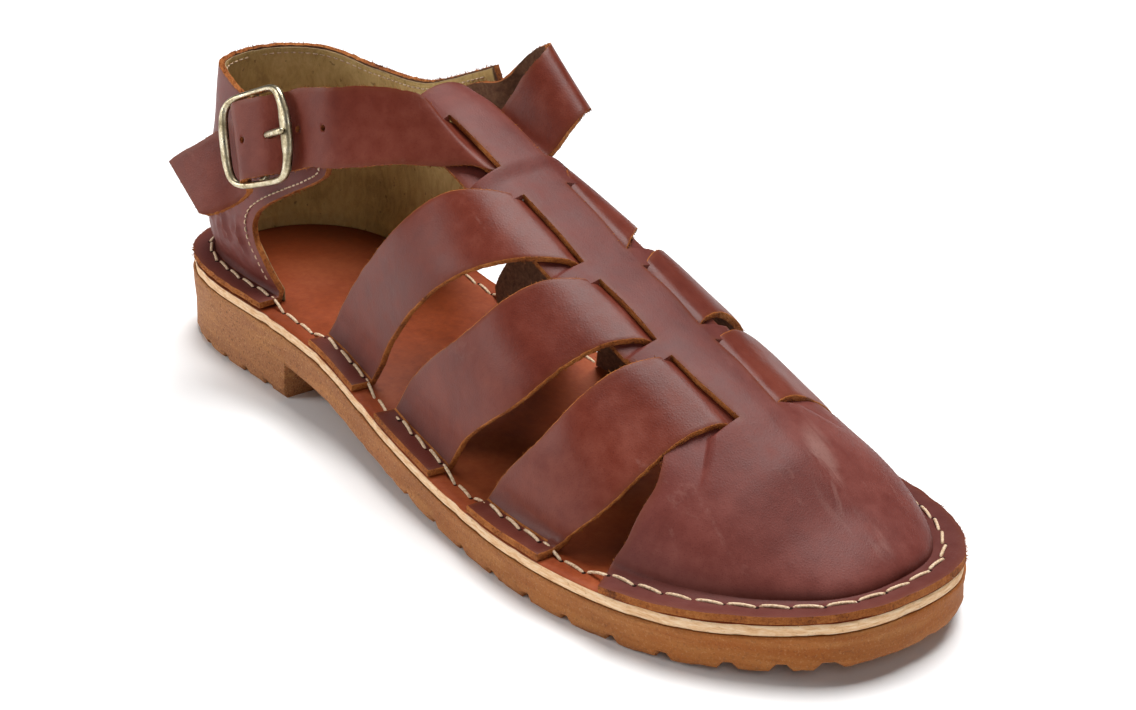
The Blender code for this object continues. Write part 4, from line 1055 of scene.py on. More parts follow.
def build_cross_strap(name, sizes, materials, seed):
    middle = STRIP_MIDDLE_WIDTH / 2
    over = np.linspace(0.0, 1.0, STRAP_COLUMNS)
    slit_x = along_sole(sizes["slit"], over) + STRAP_FILL * (2 * over - 1)
    outer_leg = strap_leg(slit_x, over, sizes, OUTER, sizes["outer_foot"])
    inner_leg = strap_leg(slit_x, over, sizes, INNER, sizes["inner_foot"])
    x, y = np.meshgrid(slit_x, np.linspace(-middle, middle, 9), indexing="ij")
    bridge = lifted(x, across_for(x, y), strap_lift(x, y))
    places = np.concatenate([outer_leg[:, ::-1], bridge, inner_leg], axis=1)
    places[..., 2] += uneven(places, STRAP_WAVES, seed)
    rough = uneven(places, STRAP_CUT, seed + 30)
    for row in (0, -1):
        places[row, :, 0] += rough[row]
    edge_wear_and_foot_shade(leather_piece(name, places, LEATHER, materials))
    out = sheet_out(places)
    cuts = ((0, 1), (-1, -2), (np.s_[:, 0], np.s_[:, 1]), (np.s_[:, -1], np.s_[:, -2]))
    return [cut_line(places, out, rim, inner) for rim, inner in cuts]


# Heel counter
def rim_height(x, side):
    return COUNTER_HEIGHT * table_curve(COUNTER_RIM, np.asarray(x) / SOLE_LENGTH, 1 if side == OUTER else 2)


def counter_round():
    """Centre and radius of the counter's turn round the back of the heel."""
    centre = COUNTER_BACK_CENTRE * SOLE_LENGTH
    return centre, centre - outline_reach(FEATHER_INSET)[0]


def turn_for(x):
    centre, radius = counter_round()
    return math.pi / 2 + (x - centre) / radius


def counter_face(height, turn, side):
    """Outer face of the counter, for arrays: turn is 0 at the back, past a quarter turn on the wings."""
    centre, radius = counter_round()
    quarter = math.pi / 2
    x = np.where(turn < quarter, centre - radius * np.cos(turn), centre + radius * (turn - quarter))
    back, flank = (table_curve(COUNTER_ROWS, height, k) for k in (1, 2))
    weight = np.sin(np.minimum(turn, quarter)) ** 2
    bulge = back * (1 - weight) + flank * weight
    if side == INNER:
        out_along = np.clip((x - WING_FLARE_START * SOLE_LENGTH) / (WING_FLARE_RUN * SOLE_LENGTH), 0, 1)
        bulge = bulge + WING_FLARE * out_along * height
    fx, fy, nx, ny = edge_at(x, side, FEATHER_INSET)
    base, rim = flange_top(fx, COUNTER_WALL), rim_height(fx, side)
    return np.stack([fx + nx * bulge, fy + ny * bulge, base + (rim - base) * height], -1)


def counter_front(height, side):
    return turn_for(SOLE_LENGTH * table_curve(COUNTER_ROWS, height, 3 if side == OUTER else 4))


def counter_sheet(shares, heights, inset=0.0):
    """Places on the counter: shares run from -1, outer front edge, to 1, inner front edge."""
    sides = []
    for side in (OUTER, INNER):
        part = np.abs(shares[shares < 0] if side == OUTER else shares[shares >= 0])
        h, s = np.meshgrid(heights, part)
        sides.append(counter_face(h, s * (counter_front(h, side) - inset), side))
    return np.concatenate(sides, axis=0)


def heel_folds(body, shares, heights):
    """Slanting folds low on the outer side of the heel."""
    low = np.clip(1 - np.abs(heights - FOLD_HEIGHT) / 0.20, 0, 1)[None, :] ** 1.2
    outer_side = np.clip(-body[..., 1] / 0.02, 0, 1) * np.clip((body[..., 0] - 0.012) / 0.02, 0, 1)
    slanted = body @ np.array([[1.0, 0.0, 0.55], [0.0, 1.0, 0.0], [0.0, 0.0, 1.6]])
    folds = np.clip(ripple(slanted, FOLD_SPACING, 11), -1, 1)
    sharp = 0.5 - np.abs(folds) ** 0.6
    inside = np.clip((1 - np.abs(shares)) / 0.16, 0, 1)[:, None]
    return sharp * low * outer_side * inside * FOLD_DEPTH


def build_lining(shares, lining, lining_edge):
    """The counter's lining, taken straight down to the footbed at its foot."""
    inner = counter_sheet(shares, np.linspace(0.992, 0.012, 48), inset=LINING_INSET)
    inner += sheet_out(inner) * (uneven(inner, LINING_WAVES, 21) - COUNTER_LEATHER)[..., None]
    foot = np.repeat(inner[:, -1:], 5, axis=1)
    floor = insole_top(foot[:, 0, 0]) + 0.00004
    foot[..., 2] += (floor - foot[:, 0, 2])[:, None] * np.linspace(0.2, 1.0, 5)[None, :]
    inner = np.concatenate([inner, foot], axis=1)
    leather_piece("counter_lining", inner, COUNTER_WALL - COUNTER_LEATHER, [lining_edge, lining, lining_edge],
                  edge_round=0.0002)


def build_counter(grain, flesh, edge, lining, lining_edge):
    heights = np.concatenate([np.linspace(1.0, 0.10, 44), [0.07, 0.045, 0.025]])
    shares = np.concatenate([np.linspace(-1.0, 0.0, 76)[:-1], np.linspace(0.0, 1.0, 86)])
    body = counter_sheet(shares, heights)
    out = sheet_out(body)
    body += out * heel_folds(body, shares, heights)[..., None]
    body += out * uneven(body, COUNTER_WAVES, 12)[..., None]
    flange = np.array(COUNTER_FLANGE_SHARES)
    foot = counter_sheet(shares, np.array([0.0]))[:, 0]
    rims = np.concatenate([flange_points(foot[shares < 0, 0], OUTER, COUNTER_WALL, flange),
                           flange_points(foot[shares >= 0, 0], INNER, COUNTER_WALL, flange)], axis=0)
    places = np.concatenate([body, rims], axis=1)
    places[:, 0, 2] += uneven(places[:, 0], COUNTER_CUT, 15)
    places[:, -1] += (places[:, -1] - places[:, -2]) * uneven(places[:, -1], COUNTER_RIM_WAVES, 16)[:, None]
    counter = leather_piece("counter_leather", places, COUNTER_LEATHER, [grain, flesh, edge],
                            edge_round=0.0004)
    edge_wear_and_foot_shade(counter)
    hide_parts("heel_counter")
    build_lining(shares, lining, lining_edge)
    out = sheet_out(places)
    front = slice(0, 45)
    cuts = ((np.s_[:, 0], np.s_[:, 1]), (np.s_[:, -1], np.s_[:, -2]),
            ((0, front), (1, front)), ((-1, front), (-2, front)))
    return [cut_line(places, out, rim, inner, COUNTER_LEATHER) for rim, inner in cuts]


def wing_face(x, z, side, lift):
    """Place over a wing's outer face at x and z, lifted off it sideways."""
    base = float(flange_top(x, COUNTER_WALL))
    height = np.clip((z - base) / (float(rim_height(x, side)) - base), 0.0, 1.0)
    point = counter_face(np.array(height), np.array(turn_for(x)), side)
    return np.array([x, point[1] + side * lift, z])


# Ankle strap
def scaled(place):
    return np.array([place[0] * SOLE_LENGTH, place[1] * BALL_WIDTH, place[2] * COUNTER_HEIGHT])


def buckle_axes():
    forward = unit(BUCKLE_FORWARD)
    upward = np.asarray(BUCKLE_UPWARD, float)
    upward = unit(upward - forward * float(upward @ forward))
    return scaled(BUCKLE_PLACE), forward, upward, np.cross(forward, upward)


def in_buckle(forward, upward, outward):
    centre, f, u, n = buckle_axes()
    forward, upward, outward = (np.asarray(v, float)[..., None] for v in (forward, upward, outward))
    return centre + f * forward + u * upward + n * outward


def ankle_stations():
    """Centre of the ankle strap and the way across it, from the inner wing to its end past the buckle."""
    inside = -(COUNTER_WALL + ANKLE_SLIT_CLEARANCE)
    stations = []
    for back in (WING_OVERLAP, WING_OVERLAP / 2, 0.0):
        x = INNER_WING_FRONT * SOLE_LENGTH - back
        top = wing_face(x, float(rim_height(x, INNER)) - ANKLE_BELOW_RIM, INNER, inside)
        low = wing_face(x, top[2] - ANKLE_STRAP_WIDTH, INNER, inside)
        stations.append(((top + low) / 2, top - low))
    stations += [(scaled(row[:3]), np.array(row[3])) for row in ANKLE_INNER_RUN[::-1]]
    half = ANKLE_STRAP_WIDTH / 2 * math.cos(math.atan(INSTEP_SLOPE))
    centre = ANKLE_SLIT_CENTRE * SOLE_LENGTH
    for share in (1.0, 0.5, 0.0, -0.5, -1.0):
        y = share * STRIP_MIDDLE_WIDTH / 2
        rear = last_face(centre - half, across_for(centre - half, y))
        front = last_face(centre + half, across_for(centre + half, y))
        stations.append(((rear + front) / 2, rear - front))
    stations += [(scaled(row[:3]), np.array(row[3])) for row in ANKLE_OUTER_RUN]
    _, along, rise, _ = buckle_axes()
    for forward, upward, outward, lean in STRAP_IN_BUCKLE:
        place = in_buckle(forward * BUCKLE_LENGTH, upward * BUCKLE_HEIGHT, outward)
        stations.append((place, rise * math.sqrt(1 - lean * lean) + along * lean))
    return stations


def ankle_edges(count):
    both = spline([np.concatenate([c, unit(d) * ANKLE_STRAP_WIDTH / 2]) for c, d in ankle_stations()], count)
    return both[:, :3] + both[:, 3:], both[:, :3] - both[:, 3:]


def strap_place(forward, count=900):
    """Middle, run, rise and outward direction of the ankle strap at a place in the buckle."""
    upper, lower = ankle_edges(count)
    middle = (upper + lower) / 2
    centre, f, _, _ = buckle_axes()
    reach = (middle - centre) @ f / BUCKLE_LENGTH
    last_part = np.arange(count) > count // 2
    index = int(np.argmin(np.where(last_part, np.abs(reach - forward), np.inf)))
    along = unit(middle[index + 1] - middle[index - 1])
    across = unit(upper[index] - lower[index])
    return middle[index], along, across, unit(np.cross(across, along))


def strap_punch(forward, materials):
    """Cutter for one punched hole; the hole in use is drawn out along the strap."""
    centre, along, across, face = strap_place(forward)
    bm = bmesh.new()
    bmesh.ops.create_cone(bm, cap_ends=True, segments=20, radius1=STRAP_HOLE / 2, radius2=STRAP_HOLE / 2,
                          depth=LEATHER * 5)
    if forward == PRONG_HOLE:
        for v in bm.verts:
            if abs(v.co.x) > 1e-6:
                v.co.x += math.copysign(PRONG_HOLE_STRETCH / 2, v.co.x)
    turn = Matrix((along, across, face)).transposed().to_4x4()
    bmesh.ops.transform(bm, matrix=Matrix.Translation(centre) @ turn, verts=bm.verts)
    bmesh.ops.recalc_face_normals(bm, faces=bm.faces)
    mesh = placed_mesh("punch", bm, materials)
    mesh.polygons.foreach_set("material_index", [2] * len(mesh.polygons))
    return add_piece("punch", mesh)


def build_ankle_strap(materials):
    count = 300
    upper, lower = ankle_edges(count)
    shares = np.linspace(1.0, 0.0, 15)
    places = upper[None] + (lower - upper)[None] * shares[:, None, None]
    tip = np.clip(1 - np.arange(count)[::-1] / 6.0, 0, 1) ** 2
    pinch = 1 - 0.07 * tip
    middle = (upper + lower) / 2
    places = middle[None] + (places - middle[None]) * pinch[None, :, None]
    for row, way, seed in ((0, lower - upper, 40), (-1, upper - lower, 41)):
        places[row] += uneven(places[row], ANKLE_CUT, seed)[:, None] * unit(way)
    strap = leather_piece("ankle_strap_leather", places, LEATHER, materials)
    punches = [strap_punch(forward, materials) for forward in STRAP_HOLES]
    for punch in punches:
        cut = strap.modifiers.new("hole", "BOOLEAN")
        cut.operation, cut.solver, cut.object = "DIFFERENCE", "EXACT", punch
    edge_wear_and_foot_shade(strap)
    graph = bpy.context.evaluated_depsgraph_get()
    mesh = bpy.data.meshes.new_from_object(strap.evaluated_get(graph))
    strap.modifiers.clear()
    strap.data = mesh
    for punch in punches:
        bpy.data.objects.remove(punch)
    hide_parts("ankle_strap")
    out = sheet_out(places)
    cuts = ((0, 1), (-1, -2), (np.s_[:, -1], np.s_[:, -2]))
    return [cut_line(places, out, rim, inner) for rim, inner in cuts]


# Buckle
def tube_mesh(path, wide, tall, side_way, closed, sides=14):
    """Tube on a path: wide along side_way, tall across it."""
    path = np.asarray(path, float)
    if closed:
        along = unit(np.roll(path, -1, axis=0) - np.roll(path, 1, axis=0))
    else:
        along = unit(np.gradient(path, axis=0))
    tall_way = unit(np.cross(along, side_way))
    wide_way = unit(np.cross(tall_way, along))
    turn = np.linspace(0, math.tau, sides + 1)
    wide, tall = np.broadcast_to(wide, len(path)), np.broadcast_to(tall, len(path))
    ring = (wide_way[:, None] * (np.cos(turn)[None, :] * wide[:, None])[..., None]
            + tall_way[:, None] * (np.sin(turn)[None, :] * tall[:, None])[..., None])
    places = path[:, None] + ring
    if closed:
        places = np.concatenate([places, places[:1]], axis=0)
    return grid_mesh(places, around=True)


def capped_tube(path, wide, tall, side_way, sides=14):
    """An open tube with its two ends closed."""
    bm = tube_mesh(path, wide, tall, side_way, closed=False, sides=sides)
    bmesh.ops.holes_fill(bm, edges=[e for e in bm.edges if e.is_boundary], sides=0)
    return bm


def brass_piece(name, bm, brass):
    piece = new_piece(name, bm, [brass], sharp=60)
    shade_hollows(piece)
    return piece


def build_buckle(brass):
    """The frame, with two lobes and a notch on its front bar, and the centre bar set low in it."""
    half_l, half_h = BUCKLE_LENGTH / 2, BUCKLE_HEIGHT / 2
    angle = math.tau * (np.arange(FRAME_POINTS) + 0.5) / FRAME_POINTS
    c, s = np.cos(angle), np.sin(angle)
    f = half_l * np.sign(c) * np.abs(c) ** FRAME_BAR_ROUND
    u = half_h * np.sign(s) * np.abs(s) ** FRAME_SIDE_ROUND * (1 + FRAME_TAPER * f / half_l)
    bow = 1 - (u / half_h) ** 2
    f = f + np.sign(f) * BUCKLE_BOW * bow * np.abs(c)
    drop = -FRAME_DROP * (1 - np.minimum(1.0, np.abs(f) / half_l) ** 2)
    path = in_buckle(f, u, drop)
    bar = np.clip((np.abs(c) - 0.45) / 0.4, 0, 1)
    front = bar * (c > 0)
    rear = bar * (c < 0)
    lobes = np.exp(-((np.abs(u) - LOBE_PLACE) / LOBE_REACH) ** 2)
    notch = np.exp(-(u / NOTCH_REACH) ** 2)
    swell = FRONT_BAR_SWELL + LOBE_SWELL * lobes - NOTCH_NARROW * notch
    wide = FRAME_WIDE + front * swell + rear * REAR_BAR_SWELL * bow
    tall = FRAME_TALL + front * (0.00010 - NOTCH_LOW * notch) + rear * 0.00015 * bow
    _, forward, _, out = buckle_axes()
    in_plane = unit(np.cross(out, unit(np.roll(path, -1, axis=0) - np.roll(path, 1, axis=0))))
    frame_bm = tube_mesh(path, wide, tall, in_plane, closed=True)
    ends = [(half_h - 0.0004, -0.0010), (half_h - 0.0014, -0.0021), (half_h - 0.0031, -BUCKLE_BAR_DROP)]
    line = [in_buckle(0.0, a, b) for a, b in ends] + [in_buckle(0.0, -a, b) for a, b in ends[::-1]]
    add_mesh(frame_bm, capped_tube(spline(line, 40), BUCKLE_BAR, BUCKLE_BAR, forward))
    frame_piece = brass_piece("buckle_brass", frame_bm, brass)
    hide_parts("buckle_frame")


def shade_hollows(piece):
    """1 low down against the strap, 0 on the rubbed outer faces."""
    centre, _, _, out = buckle_axes()
    places = np.array([v.co for v in piece.data.vertices]) + PLACE
    ways = np.array([v.normal for v in piece.data.vertices])
    height = np.maximum((places - centre) @ out, 0)
    give_attribute(piece, "hollow", ease(0.55 - (ways @ out) * 0.9 - height * 60))


def build_prong(brass):
    """The prong: a curl round the centre bar, a run up through the strap's hole and a tip in the notch."""
    curl = BUCKLE_BAR + CLEARANCE + PRONG_WIRE
    points = [(curl * math.cos(math.radians(d)), -BUCKLE_BAR_DROP + curl * math.sin(math.radians(d)))
              for d in range(340, 80, -20)]
    rest = PRONG_REST + PRONG_WIRE
    tip = BUCKLE_LENGTH / 2
    points += [(0.0022, -0.0009), (0.0045, -0.0002), (0.0075, 0.0009), (0.0110, 0.0018),
               (tip + 0.0008, rest), (tip + 0.0027, rest - 0.0002)]
    path = spline([in_buckle(a, 0.0, b) for a, b in points], PRONG_POINTS)
    end = np.linspace(0, 1, PRONG_POINTS)
    thick = PRONG_WIRE * 1.15 * (np.sqrt(np.clip((1 - end) / 0.045, 0.0, 1.0)) * np.clip(end / 0.01, 0.3, 1))
    thick = np.maximum(thick, 0.00002)
    prong_bm = capped_tube(path, thick * 1.15, thick, buckle_axes()[2], sides=12)
    prong = brass_piece("prong_brass", prong_bm, brass)
    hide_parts("buckle_prong")


def on_wing(forward, upward, lift):
    """Place in the buckle's frame whose outward direction is brought onto the outer wing."""
    outward = -0.008
    for _ in range(6):
        point = in_buckle(forward, upward, outward)
        outward += point[1] - wing_face(float(point[0]), float(point[2]), OUTER, lift)[1]
    return in_buckle(forward, upward, outward)


def build_chape(materials):
    """The loop: along the wing, round the centre bar with a slot for the prong, and back along the wing."""
    loop = BUCKLE_BAR + CLEARANCE + CHAPE_LEATHER / 2
    half_slot = PRONG_WIRE + CLEARANCE * 1.5
    side = np.linspace(CHAPE_WIDTH / 2, half_slot, CHAPE_SIDE_ROWS)
    rows = []
    for upward in np.concatenate([side, -side[::-1]]):
        under = [on_wing(forward, upward, CLEARANCE + CHAPE_LEATHER / 2)
                 for forward in (-0.0230, -0.0190, -0.0150, -0.0110)]
        under.append(in_buckle(-0.0055, upward, -BUCKLE_BAR_DROP - loop - 0.0011))
        turn = [in_buckle(loop * math.cos(a), upward, -BUCKLE_BAR_DROP + loop * math.sin(a))
                for a in map(math.radians, CHAPE_TURN)]
        over = [in_buckle(-0.0060, upward, -BUCKLE_BAR_DROP - 0.0010)]
        over += [on_wing(forward, upward, 2 * CLEARANCE + CHAPE_LEATHER * 1.5)
                 for forward in (-0.0110, -0.0150, -0.0180)]
        rows.append(np.array(under + turn + over))
    places = np.array(rows)
    open_cells = np.zeros(places.shape[:2], bool)
    open_cells[CHAPE_SIDE_ROWS - 1, 4:19] = True
    piece = leather_piece("buckle_loop", places, CHAPE_LEATHER, materials, open_cells, 0.0002)
    piece.modifiers["thickness"].offset = 0.0
    edge_wear_and_foot_shade(piece)
    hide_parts("buckle_chape")


# Sole
def lug_grooves():
    heel = np.arange(HEEL_TREAD_START, HEEL_BLOCK_LENGTH - LUG_GROOVE_WIDTH * 1.5, HEEL_LUG_PITCH)
    tread = np.arange(*TREAD_SPAN, TOE_LUG_PITCH / SOLE_LENGTH) * SOLE_LENGTH
    return [*heel, *tread, *TOE_END_GROOVES]


def tread_stations():
    """Places along the sole, each with how deep the tread is cut there."""
    breast, grooves = HEEL_BLOCK_LENGTH, lug_grooves()
    stations = [(x, 0.0) for x in even_turns(150)
                if not any(g - 0.0004 < x < g + LUG_GROOVE_WIDTH + 0.0004 for g in grooves)
                and not breast - 0.0016 < x < breast + 0.0004]
    for g in grooves:
        stations += [(g, 0.0), (g + LUG_GROOVE_SLANT, LUG_GROOVE_DEPTH),
                     (g + LUG_GROOVE_WIDTH - LUG_GROOVE_SLANT, LUG_GROOVE_DEPTH), (g + LUG_GROOVE_WIDTH, 0.0)]
    stations += [(breast - 0.0012, 0.0), (breast, 0.0)]
    return np.array(sorted(stations)).T


def worn_in(wear, seed, x, y):
    """How far the sole's side is worn in along one line of its profile."""
    if wear is None:
        return np.zeros_like(x)
    return np.maximum(uneven(np.stack([x, y, np.zeros_like(x)], -1), wear, seed), 0)


def ring_round(outer, inner):
    """Lines of the outer side, then of the inner side backwards, as a closed tube of rows along the sole."""
    return np.concatenate([outer, inner[::-1], outer[:1]], axis=0).transpose(1, 0, 2)


def build_outsole(rubber):
    x, cut = tread_stations()
    top = rubber_top(x)
    heel_under = HEEL_CORNER_RISE * np.clip(1 - x / HEEL_CORNER_LENGTH, 0, 1) ** 2
    under = np.where(x < HEEL_BLOCK_LENGTH - 0.0006, heel_under, top - FOREFOOT_THICKNESS)
    low = under + cut
    step = np.minimum(under + 0.0036, top - 0.002)
    profile = [(0.0030, top, None, 0), (0.0003, top, None, 0), (0.0, top - 0.0004, SIDE_WEAR, 0),
               (0.0001, top * 0.7 + step * 0.3, SIDE_WEAR, 0), (0.0004, top * 0.4 + step * 0.6, SIDE_WEAR, 0),
               (0.0002, step, SIDE_WEAR, 0), (0.0001, step * 0.6 + low * 0.4, LUG_WEAR, 0),
               (0.0006, step * 0.2 + low * 0.8 + 0.0001, LUG_WEAR, 0.8), (0.0014, low, LUG_WEAR, 0.8),
               (0.0040, low, None, 0), (0.0100, low, None, 0)]
    rings = []
    for side in (OUTER, INNER):
        ex, ey, nx, ny = edge_at(x, side)
        ex = np.where((x <= x[0]) | (x >= x[-1]), x, ex)
        lines = []
        for k, (inset, z, wear, lift) in enumerate(profile):
            px, py = ex - nx * inset, ey - ny * inset
            worn = worn_in(wear, 70 + k, px, py)
            lines.append(np.stack([px - nx * worn, py - ny * worn, z + worn * lift], -1))
        rings.append(np.array(lines))
    bm = grid_mesh(ring_round(*rings), around=True)
    piece = new_piece("outsole_rubber", bm, [rubber], sharp=38)
    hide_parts("outsole")


def build_footbed(tan, pale):
    x = even_turns(170)
    rings = []
    for side in (OUTER, INNER):
        ex, ey, nx, ny = edge_at(x, side)
        top = insole_top(ex)
        low = top - INSOLE_THICKNESS
        worn = worn_in(FOOTBED_WEAR, 90, ex, ey)
        profile = [(0.0200, top), (0.0030, top), (0.0009, top - 0.00004), (0.0005 + worn, top - 0.0003),
                   (0.0003 + worn, top - 0.0011), (0.0004 + worn, low + 0.0010), (0.0006 + worn, low),
                   (0.0040, low)]
        rings.append(np.array([np.stack([ex - nx * inset, ey - ny * inset, z], -1) for inset, z in profile]))
    outer, inner = rings
    crossed = (outer[..., 1] > inner[..., 1])[..., None]
    mean = (outer + inner) / 2
    outer, inner = np.where(crossed, mean, outer), np.where(crossed, mean, inner)
    bm = grid_mesh(ring_round(outer, inner), around=True)
    piece = new_piece("footbed", bm, [tan, pale], sharp=50)
    centres = np.array([p.center for p in piece.data.polygons]) + PLACE
    below = centres[:, 2] < insole_top(centres[:, 0]) - 0.00028
    piece.data.polygons.foreach_set("material_index", below.astype(np.int32))
    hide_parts("insole")


# Stitches
def thread_stitches(name, ends, ups, radius, arch, dive, thread, sides, rings):
    """One short arched thread from each start to each end, its ends sunk in the leather."""
    bm = bmesh.new()
    t = np.linspace(0, 1, rings)
    rise = np.sin(t * math.pi) ** 0.55 * (arch + dive) - dive
    size = radius * np.array([0.45] + [1.0] * (rings - 2) + [0.45])
    for (a, b), up in zip(ends, ups):
        path = a + (b - a) * t[:, None] + np.asarray(up, float) * rise[:, None]
        way = np.broadcast_to(unit(np.cross(b - a, up)), path.shape)
        add_mesh(bm, capped_tube(path, size, size * 0.9, way, sides=sides))
    new_piece(name, bm, [thread])


def welt_height(x, side):
    """Height of what the hand stitch lies on: a turned-out edge of leather or the bare footbed."""
    share = x / SOLE_LENGTH
    spans = [(0.0, COUNTER_ROWS[0][3 if side == OUTER else 4], COUNTER_WALL)]
    for strap in CROSS_STRAPS.values():
        spans.append((*strap["outer_foot" if side == OUTER else "inner_foot"], LEATHER))
    spans.append((CAP_REAR_EDGE[-1][1] + 0.006, 1.1, LEATHER))
    base = float(insole_top(min(x, SOLE_LENGTH)))
    for low, high, leather in spans:
        if low - 0.004 <= share <= high + 0.004:
            return base + CLEARANCE + leather
    return base


def build_welt_stitches(thread, dark):
    """The hand stitch round the sole, each stitch a little off the line, with a disc of painted shade for an
    awl hole at its end.
    """
    loop = OUTLINE - OUTWARD * STITCH_INSET
    loop, out = (np.vstack([values, values[:1]]) for values in (loop, OUTWARD))
    run = run_along(loop)
    count = int(round(run[-1] / STITCH_PITCH))
    pitch = run[-1] / count
    ends = []
    draw = np.random.default_rng(5)
    for k in range(count):
        pair = []
        for place, off in ((k * pitch, -STITCH_LEAN), ((k + 1) * pitch - STITCH_GAP, STITCH_LEAN)):
            off += draw.uniform(-STITCH_SWAY, STITCH_SWAY)
            (x, y), (nx, ny) = read_at(run, loop, place), read_at(run, out, place)
            z = welt_height(x, OUTER if y < crest_line(x) else INNER)
            pair.append(np.array([x + nx * off, y + ny * off, z]))
        ends.append(pair)
    thread_stitches("welt_stitches", ends, [(0, 0, 1)] * count, WELT_THREAD, WELT_ARCH, WELT_DIVE, thread,
                    sides=8, rings=11)
    # Painted shade: a flat, nearly black disc at each stitch's end stands for the shade inside the awl hole
    bm = bmesh.new()
    for _, place in ends:
        bmesh.ops.create_icosphere(bm, subdivisions=2, radius=AWL_HOLE,
                                   matrix=Matrix.Translation(place) @ Matrix.Diagonal((1.0, 1.0, 0.16, 1.0)))
    new_piece("welt_awl_hole_shade", bm, [dark])


def row_stitches(name, path, outs, thread):
    """Machine stitches along a path that lies on a surface."""
    run = run_along(path)
    starts = np.arange(0.0008, run[-1] - ROW_STITCH, ROW_PITCH)
    ends = [[read_at(run, path, place) for place in (start, start + ROW_STITCH)] for start in starts]
    ups = [unit(read_at(run, outs, start)) for start in starts]
    thread_stitches(name, ends, ups, ROW_THREAD, ROW_ARCH, ROW_THREAD * 0.9, thread, sides=6, rings=5)


def on_counter(shares, heights, side, inset, lift):
    """Places over the counter's face, inset from its front edge, and the ways out of it there."""
    turn = shares * (counter_front(heights, side) - inset)
    place = counter_face(heights, turn, side)
    ahead = counter_face(heights, turn + 0.01, side) - counter_face(heights, turn - 0.01, side)
    rise = (counter_face(np.minimum(heights + 0.01, 1.0), turn, side)
            - counter_face(np.maximum(heights - 0.01, 0.0), turn, side))
    out = unit(np.cross(rise, ahead)) * side
    out = unit(out * np.sign(np.sum(out * np.array([0.0, side, 0.0]), axis=-1, keepdims=True) + 1e-9))
    return place + out * lift, out


def build_counter_stitches(thread):
    """Rows beside the front edges, along the rim of the lining, and the box that holds the ankle strap."""
    on_grain, on_lining = 0.00005, -(COUNTER_WALL + 0.00002)
    rows = [("counter_edge_stitches_outer", 1.0, np.linspace(0.05, 0.97, 160), OUTER, EDGE_ROW, on_grain),
            ("counter_edge_stitches_inner", 1.0, np.linspace(0.05, 0.94, 160), INNER, EDGE_ROW, on_grain),
            ("counter_box_stitches", 1.0, np.linspace(0.60, 0.93, 60), INNER, BOX_ROW, on_grain)]
    rim_run = np.linspace(0.02, 0.965, 200)
    for word, side in (("outer", OUTER), ("inner", INNER)):
        rows.append(("lining_rim_stitches_" + word, rim_run, np.full(200, 0.962), side, 0.0, on_lining))
    rows.append(("lining_front_stitches", 1.0, np.linspace(0.62, 0.95, 60), INNER, EDGE_ROW, on_lining))
    for name, shares, heights, side, inset, lift in rows:
        place, out = on_counter(shares, heights, side, inset, lift)
        row_stitches(name, place, out * math.copysign(1.0, lift), thread)


# Studio
def build_floor():
    bm = bmesh.new()
    bmesh.ops.create_grid(bm, x_segments=1, y_segments=1, size=FLOOR_HALF,
                          matrix=Matrix.Translation((0.0, 0.0, -FLOOR_GAP)))
    mesh = bpy.data.meshes.new("studio_floor")
    bm.to_mesh(mesh)
    bm.free()
    paper = Finish("white_paper", 0.9, specular=0.1)
    tint = paper.ramp(paper.noise(3.0), ((0.3, (0.90, 0.90, 0.90)), (0.7, (0.93, 0.93, 0.93))))
    mesh.materials.append(paper.done(tint))
    floor = add_piece("studio_floor", mesh)


def build_room():
    """Light from all round, stronger from low down."""
    world = bpy.data.worlds.new("soft_room")
    bpy.context.scene.world = world
    world.use_nodes = True
    nodes, links = world.node_tree.nodes, world.node_tree.links
    ways = nodes.new("ShaderNodeTexCoord").outputs["Generated"]
    split = nodes.new("ShaderNodeSeparateXYZ")
    links.new(ways, split.inputs[0])
    wall = nodes.new("ShaderNodeMapRange")
    wall.interpolation_type = "SMOOTHSTEP"
    links.new(split.outputs[2], wall.inputs["Value"])
    for key, number in (("From Min", 0.10), ("From Max", 0.45), ("To Min", 1.0), ("To Max", 0.42)):
        wall.inputs[key].default_value = number
    links.new(wall.outputs["Result"], nodes["Background"].inputs["Strength"])
    bpy.context.scene.view_settings.view_transform = "Standard"


def build_lamps():
    """Kind, name, place, aim, size and power of each; the sun's size is an angle in degrees."""
    lamps = (("SUN", "overhead_softbox", (-0.20, 0.45, 1.4), (0.0, 0.0, 0.03), 42.0, 4.5),
             ("AREA", "side_softbox", (-1.0, -1.2, 0.62), (0.0, 0.0, 0.05), 0.8, 12.0),
             ("AREA", "front_fill", (1.2, -0.7, 0.9), (0.0, 0.0, 0.05), 1.0, 4.6))
    for kind, name, place, target, size, power in lamps:
        lamp = bpy.data.lights.new(name, kind)
        lamp.energy = power
        if kind == "SUN":
            lamp.angle = math.radians(size)
        else:
            lamp.size = size
        holder = add_piece(name, lamp)
        holder.location = place
        holder.rotation_euler = (Vector(target) - Vector(place)).to_track_quat("-Z", "Y").to_euler()


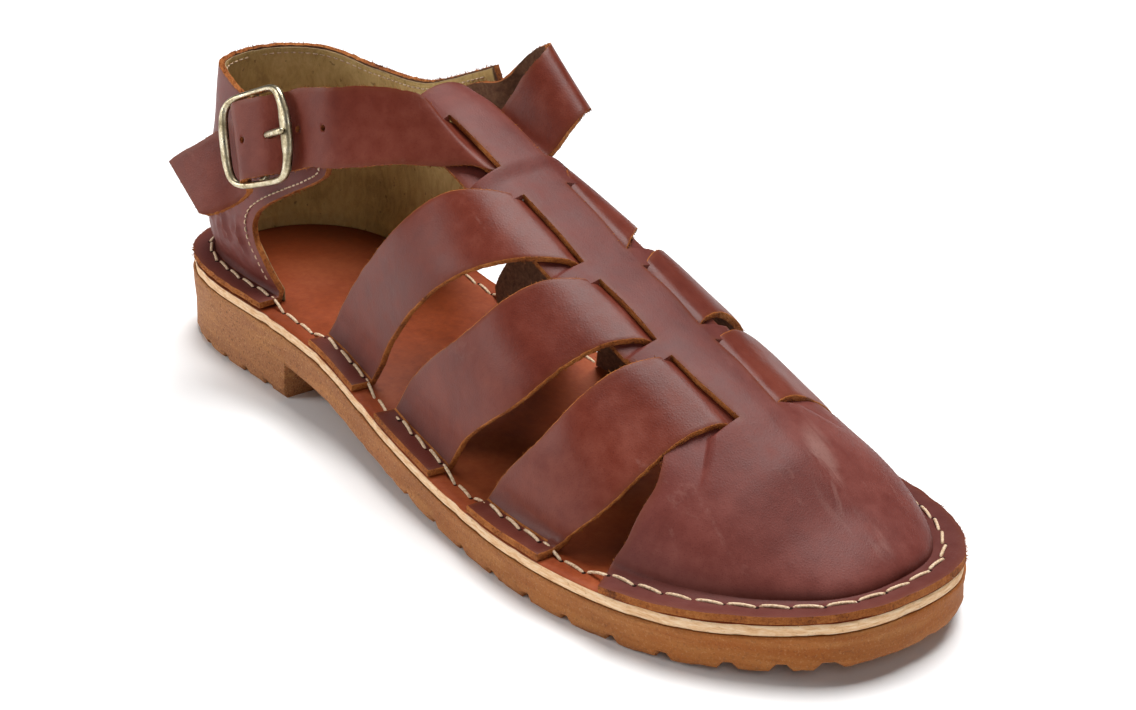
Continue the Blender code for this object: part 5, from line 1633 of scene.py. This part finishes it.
def build_camera():
    azimuth, elevation = math.radians(CAMERA_AZIMUTH), math.radians(CAMERA_ELEVATION)
    back = Vector((math.sin(azimuth) * math.cos(elevation), -math.cos(azimuth) * math.cos(elevation),
                   math.sin(elevation)))
    right = Vector((math.cos(azimuth), math.sin(azimuth), 0.0))
    up = back.cross(right)
    data = bpy.data.cameras.new("camera")
    data.lens, data.sensor_width, data.sensor_fit = CAMERA_LENS, CAMERA_SENSOR, "HORIZONTAL"
    camera = add_piece("camera", data)
    turn = Matrix((right, up, back)).transposed().to_4x4()
    camera.matrix_world = Matrix.Translation(Vector(CAMERA_PLACE) - Vector(PLACE)) @ turn
    bpy.context.scene.camera = camera


def main():
    vamp_grain = grain_leather("vamp_leather", (0.088, 0.0165, 0.0125), (0.140, 0.031, 0.0235),
                               (0.200, 0.054, 0.042), 0.54)
    strap_grain = grain_leather("strap_leather", (0.088, 0.0125, 0.0068), (0.142, 0.0255, 0.0140),
                                (0.205, 0.049, 0.030), 0.46)
    flesh, edge = flesh_side("flesh_side"), cut_edge("cut_edge")
    lining, pale = napped_lining(), pale_edge()
    thread, dark = thread_finish(), painted_hole_shade()
    brass, rubber, tan = old_brass(), speckled_rubber(), footbed_leather()
    vamp_leather, strap_leather = [vamp_grain, flesh, edge], [strap_grain, flesh, edge]
    build_outsole(rubber)
    build_footbed(tan, pale)
    loose = build_vamp(vamp_leather)
    for seed, (name, sizes) in enumerate(CROSS_STRAPS.items()):
        loose += build_cross_strap(name + "_leather", sizes, strap_leather, 50 + seed)
    fringe("strap_edge_fibres", loose, edge, 2000, 0.0013, 61)
    rim_edge = cut_edge("lining_edge", (0.40, 0.28, 0.14), (0.20, 0.12, 0.05))
    loose = build_counter(vamp_grain, flesh, edge, lining, rim_edge)
    fringe("counter_edge_fibres", loose, edge, 3000, 0.0017, 62)
    loose = build_ankle_strap(strap_leather)
    fringe("ankle_edge_fibres", loose, edge, 2200, 0.0013, 63)
    build_chape(vamp_leather)
    build_buckle(brass)
    build_prong(brass)
    build_welt_stitches(thread, dark)
    build_counter_stitches(thread)
    build_floor()
    build_room()
    build_lamps()
    build_camera()


main()
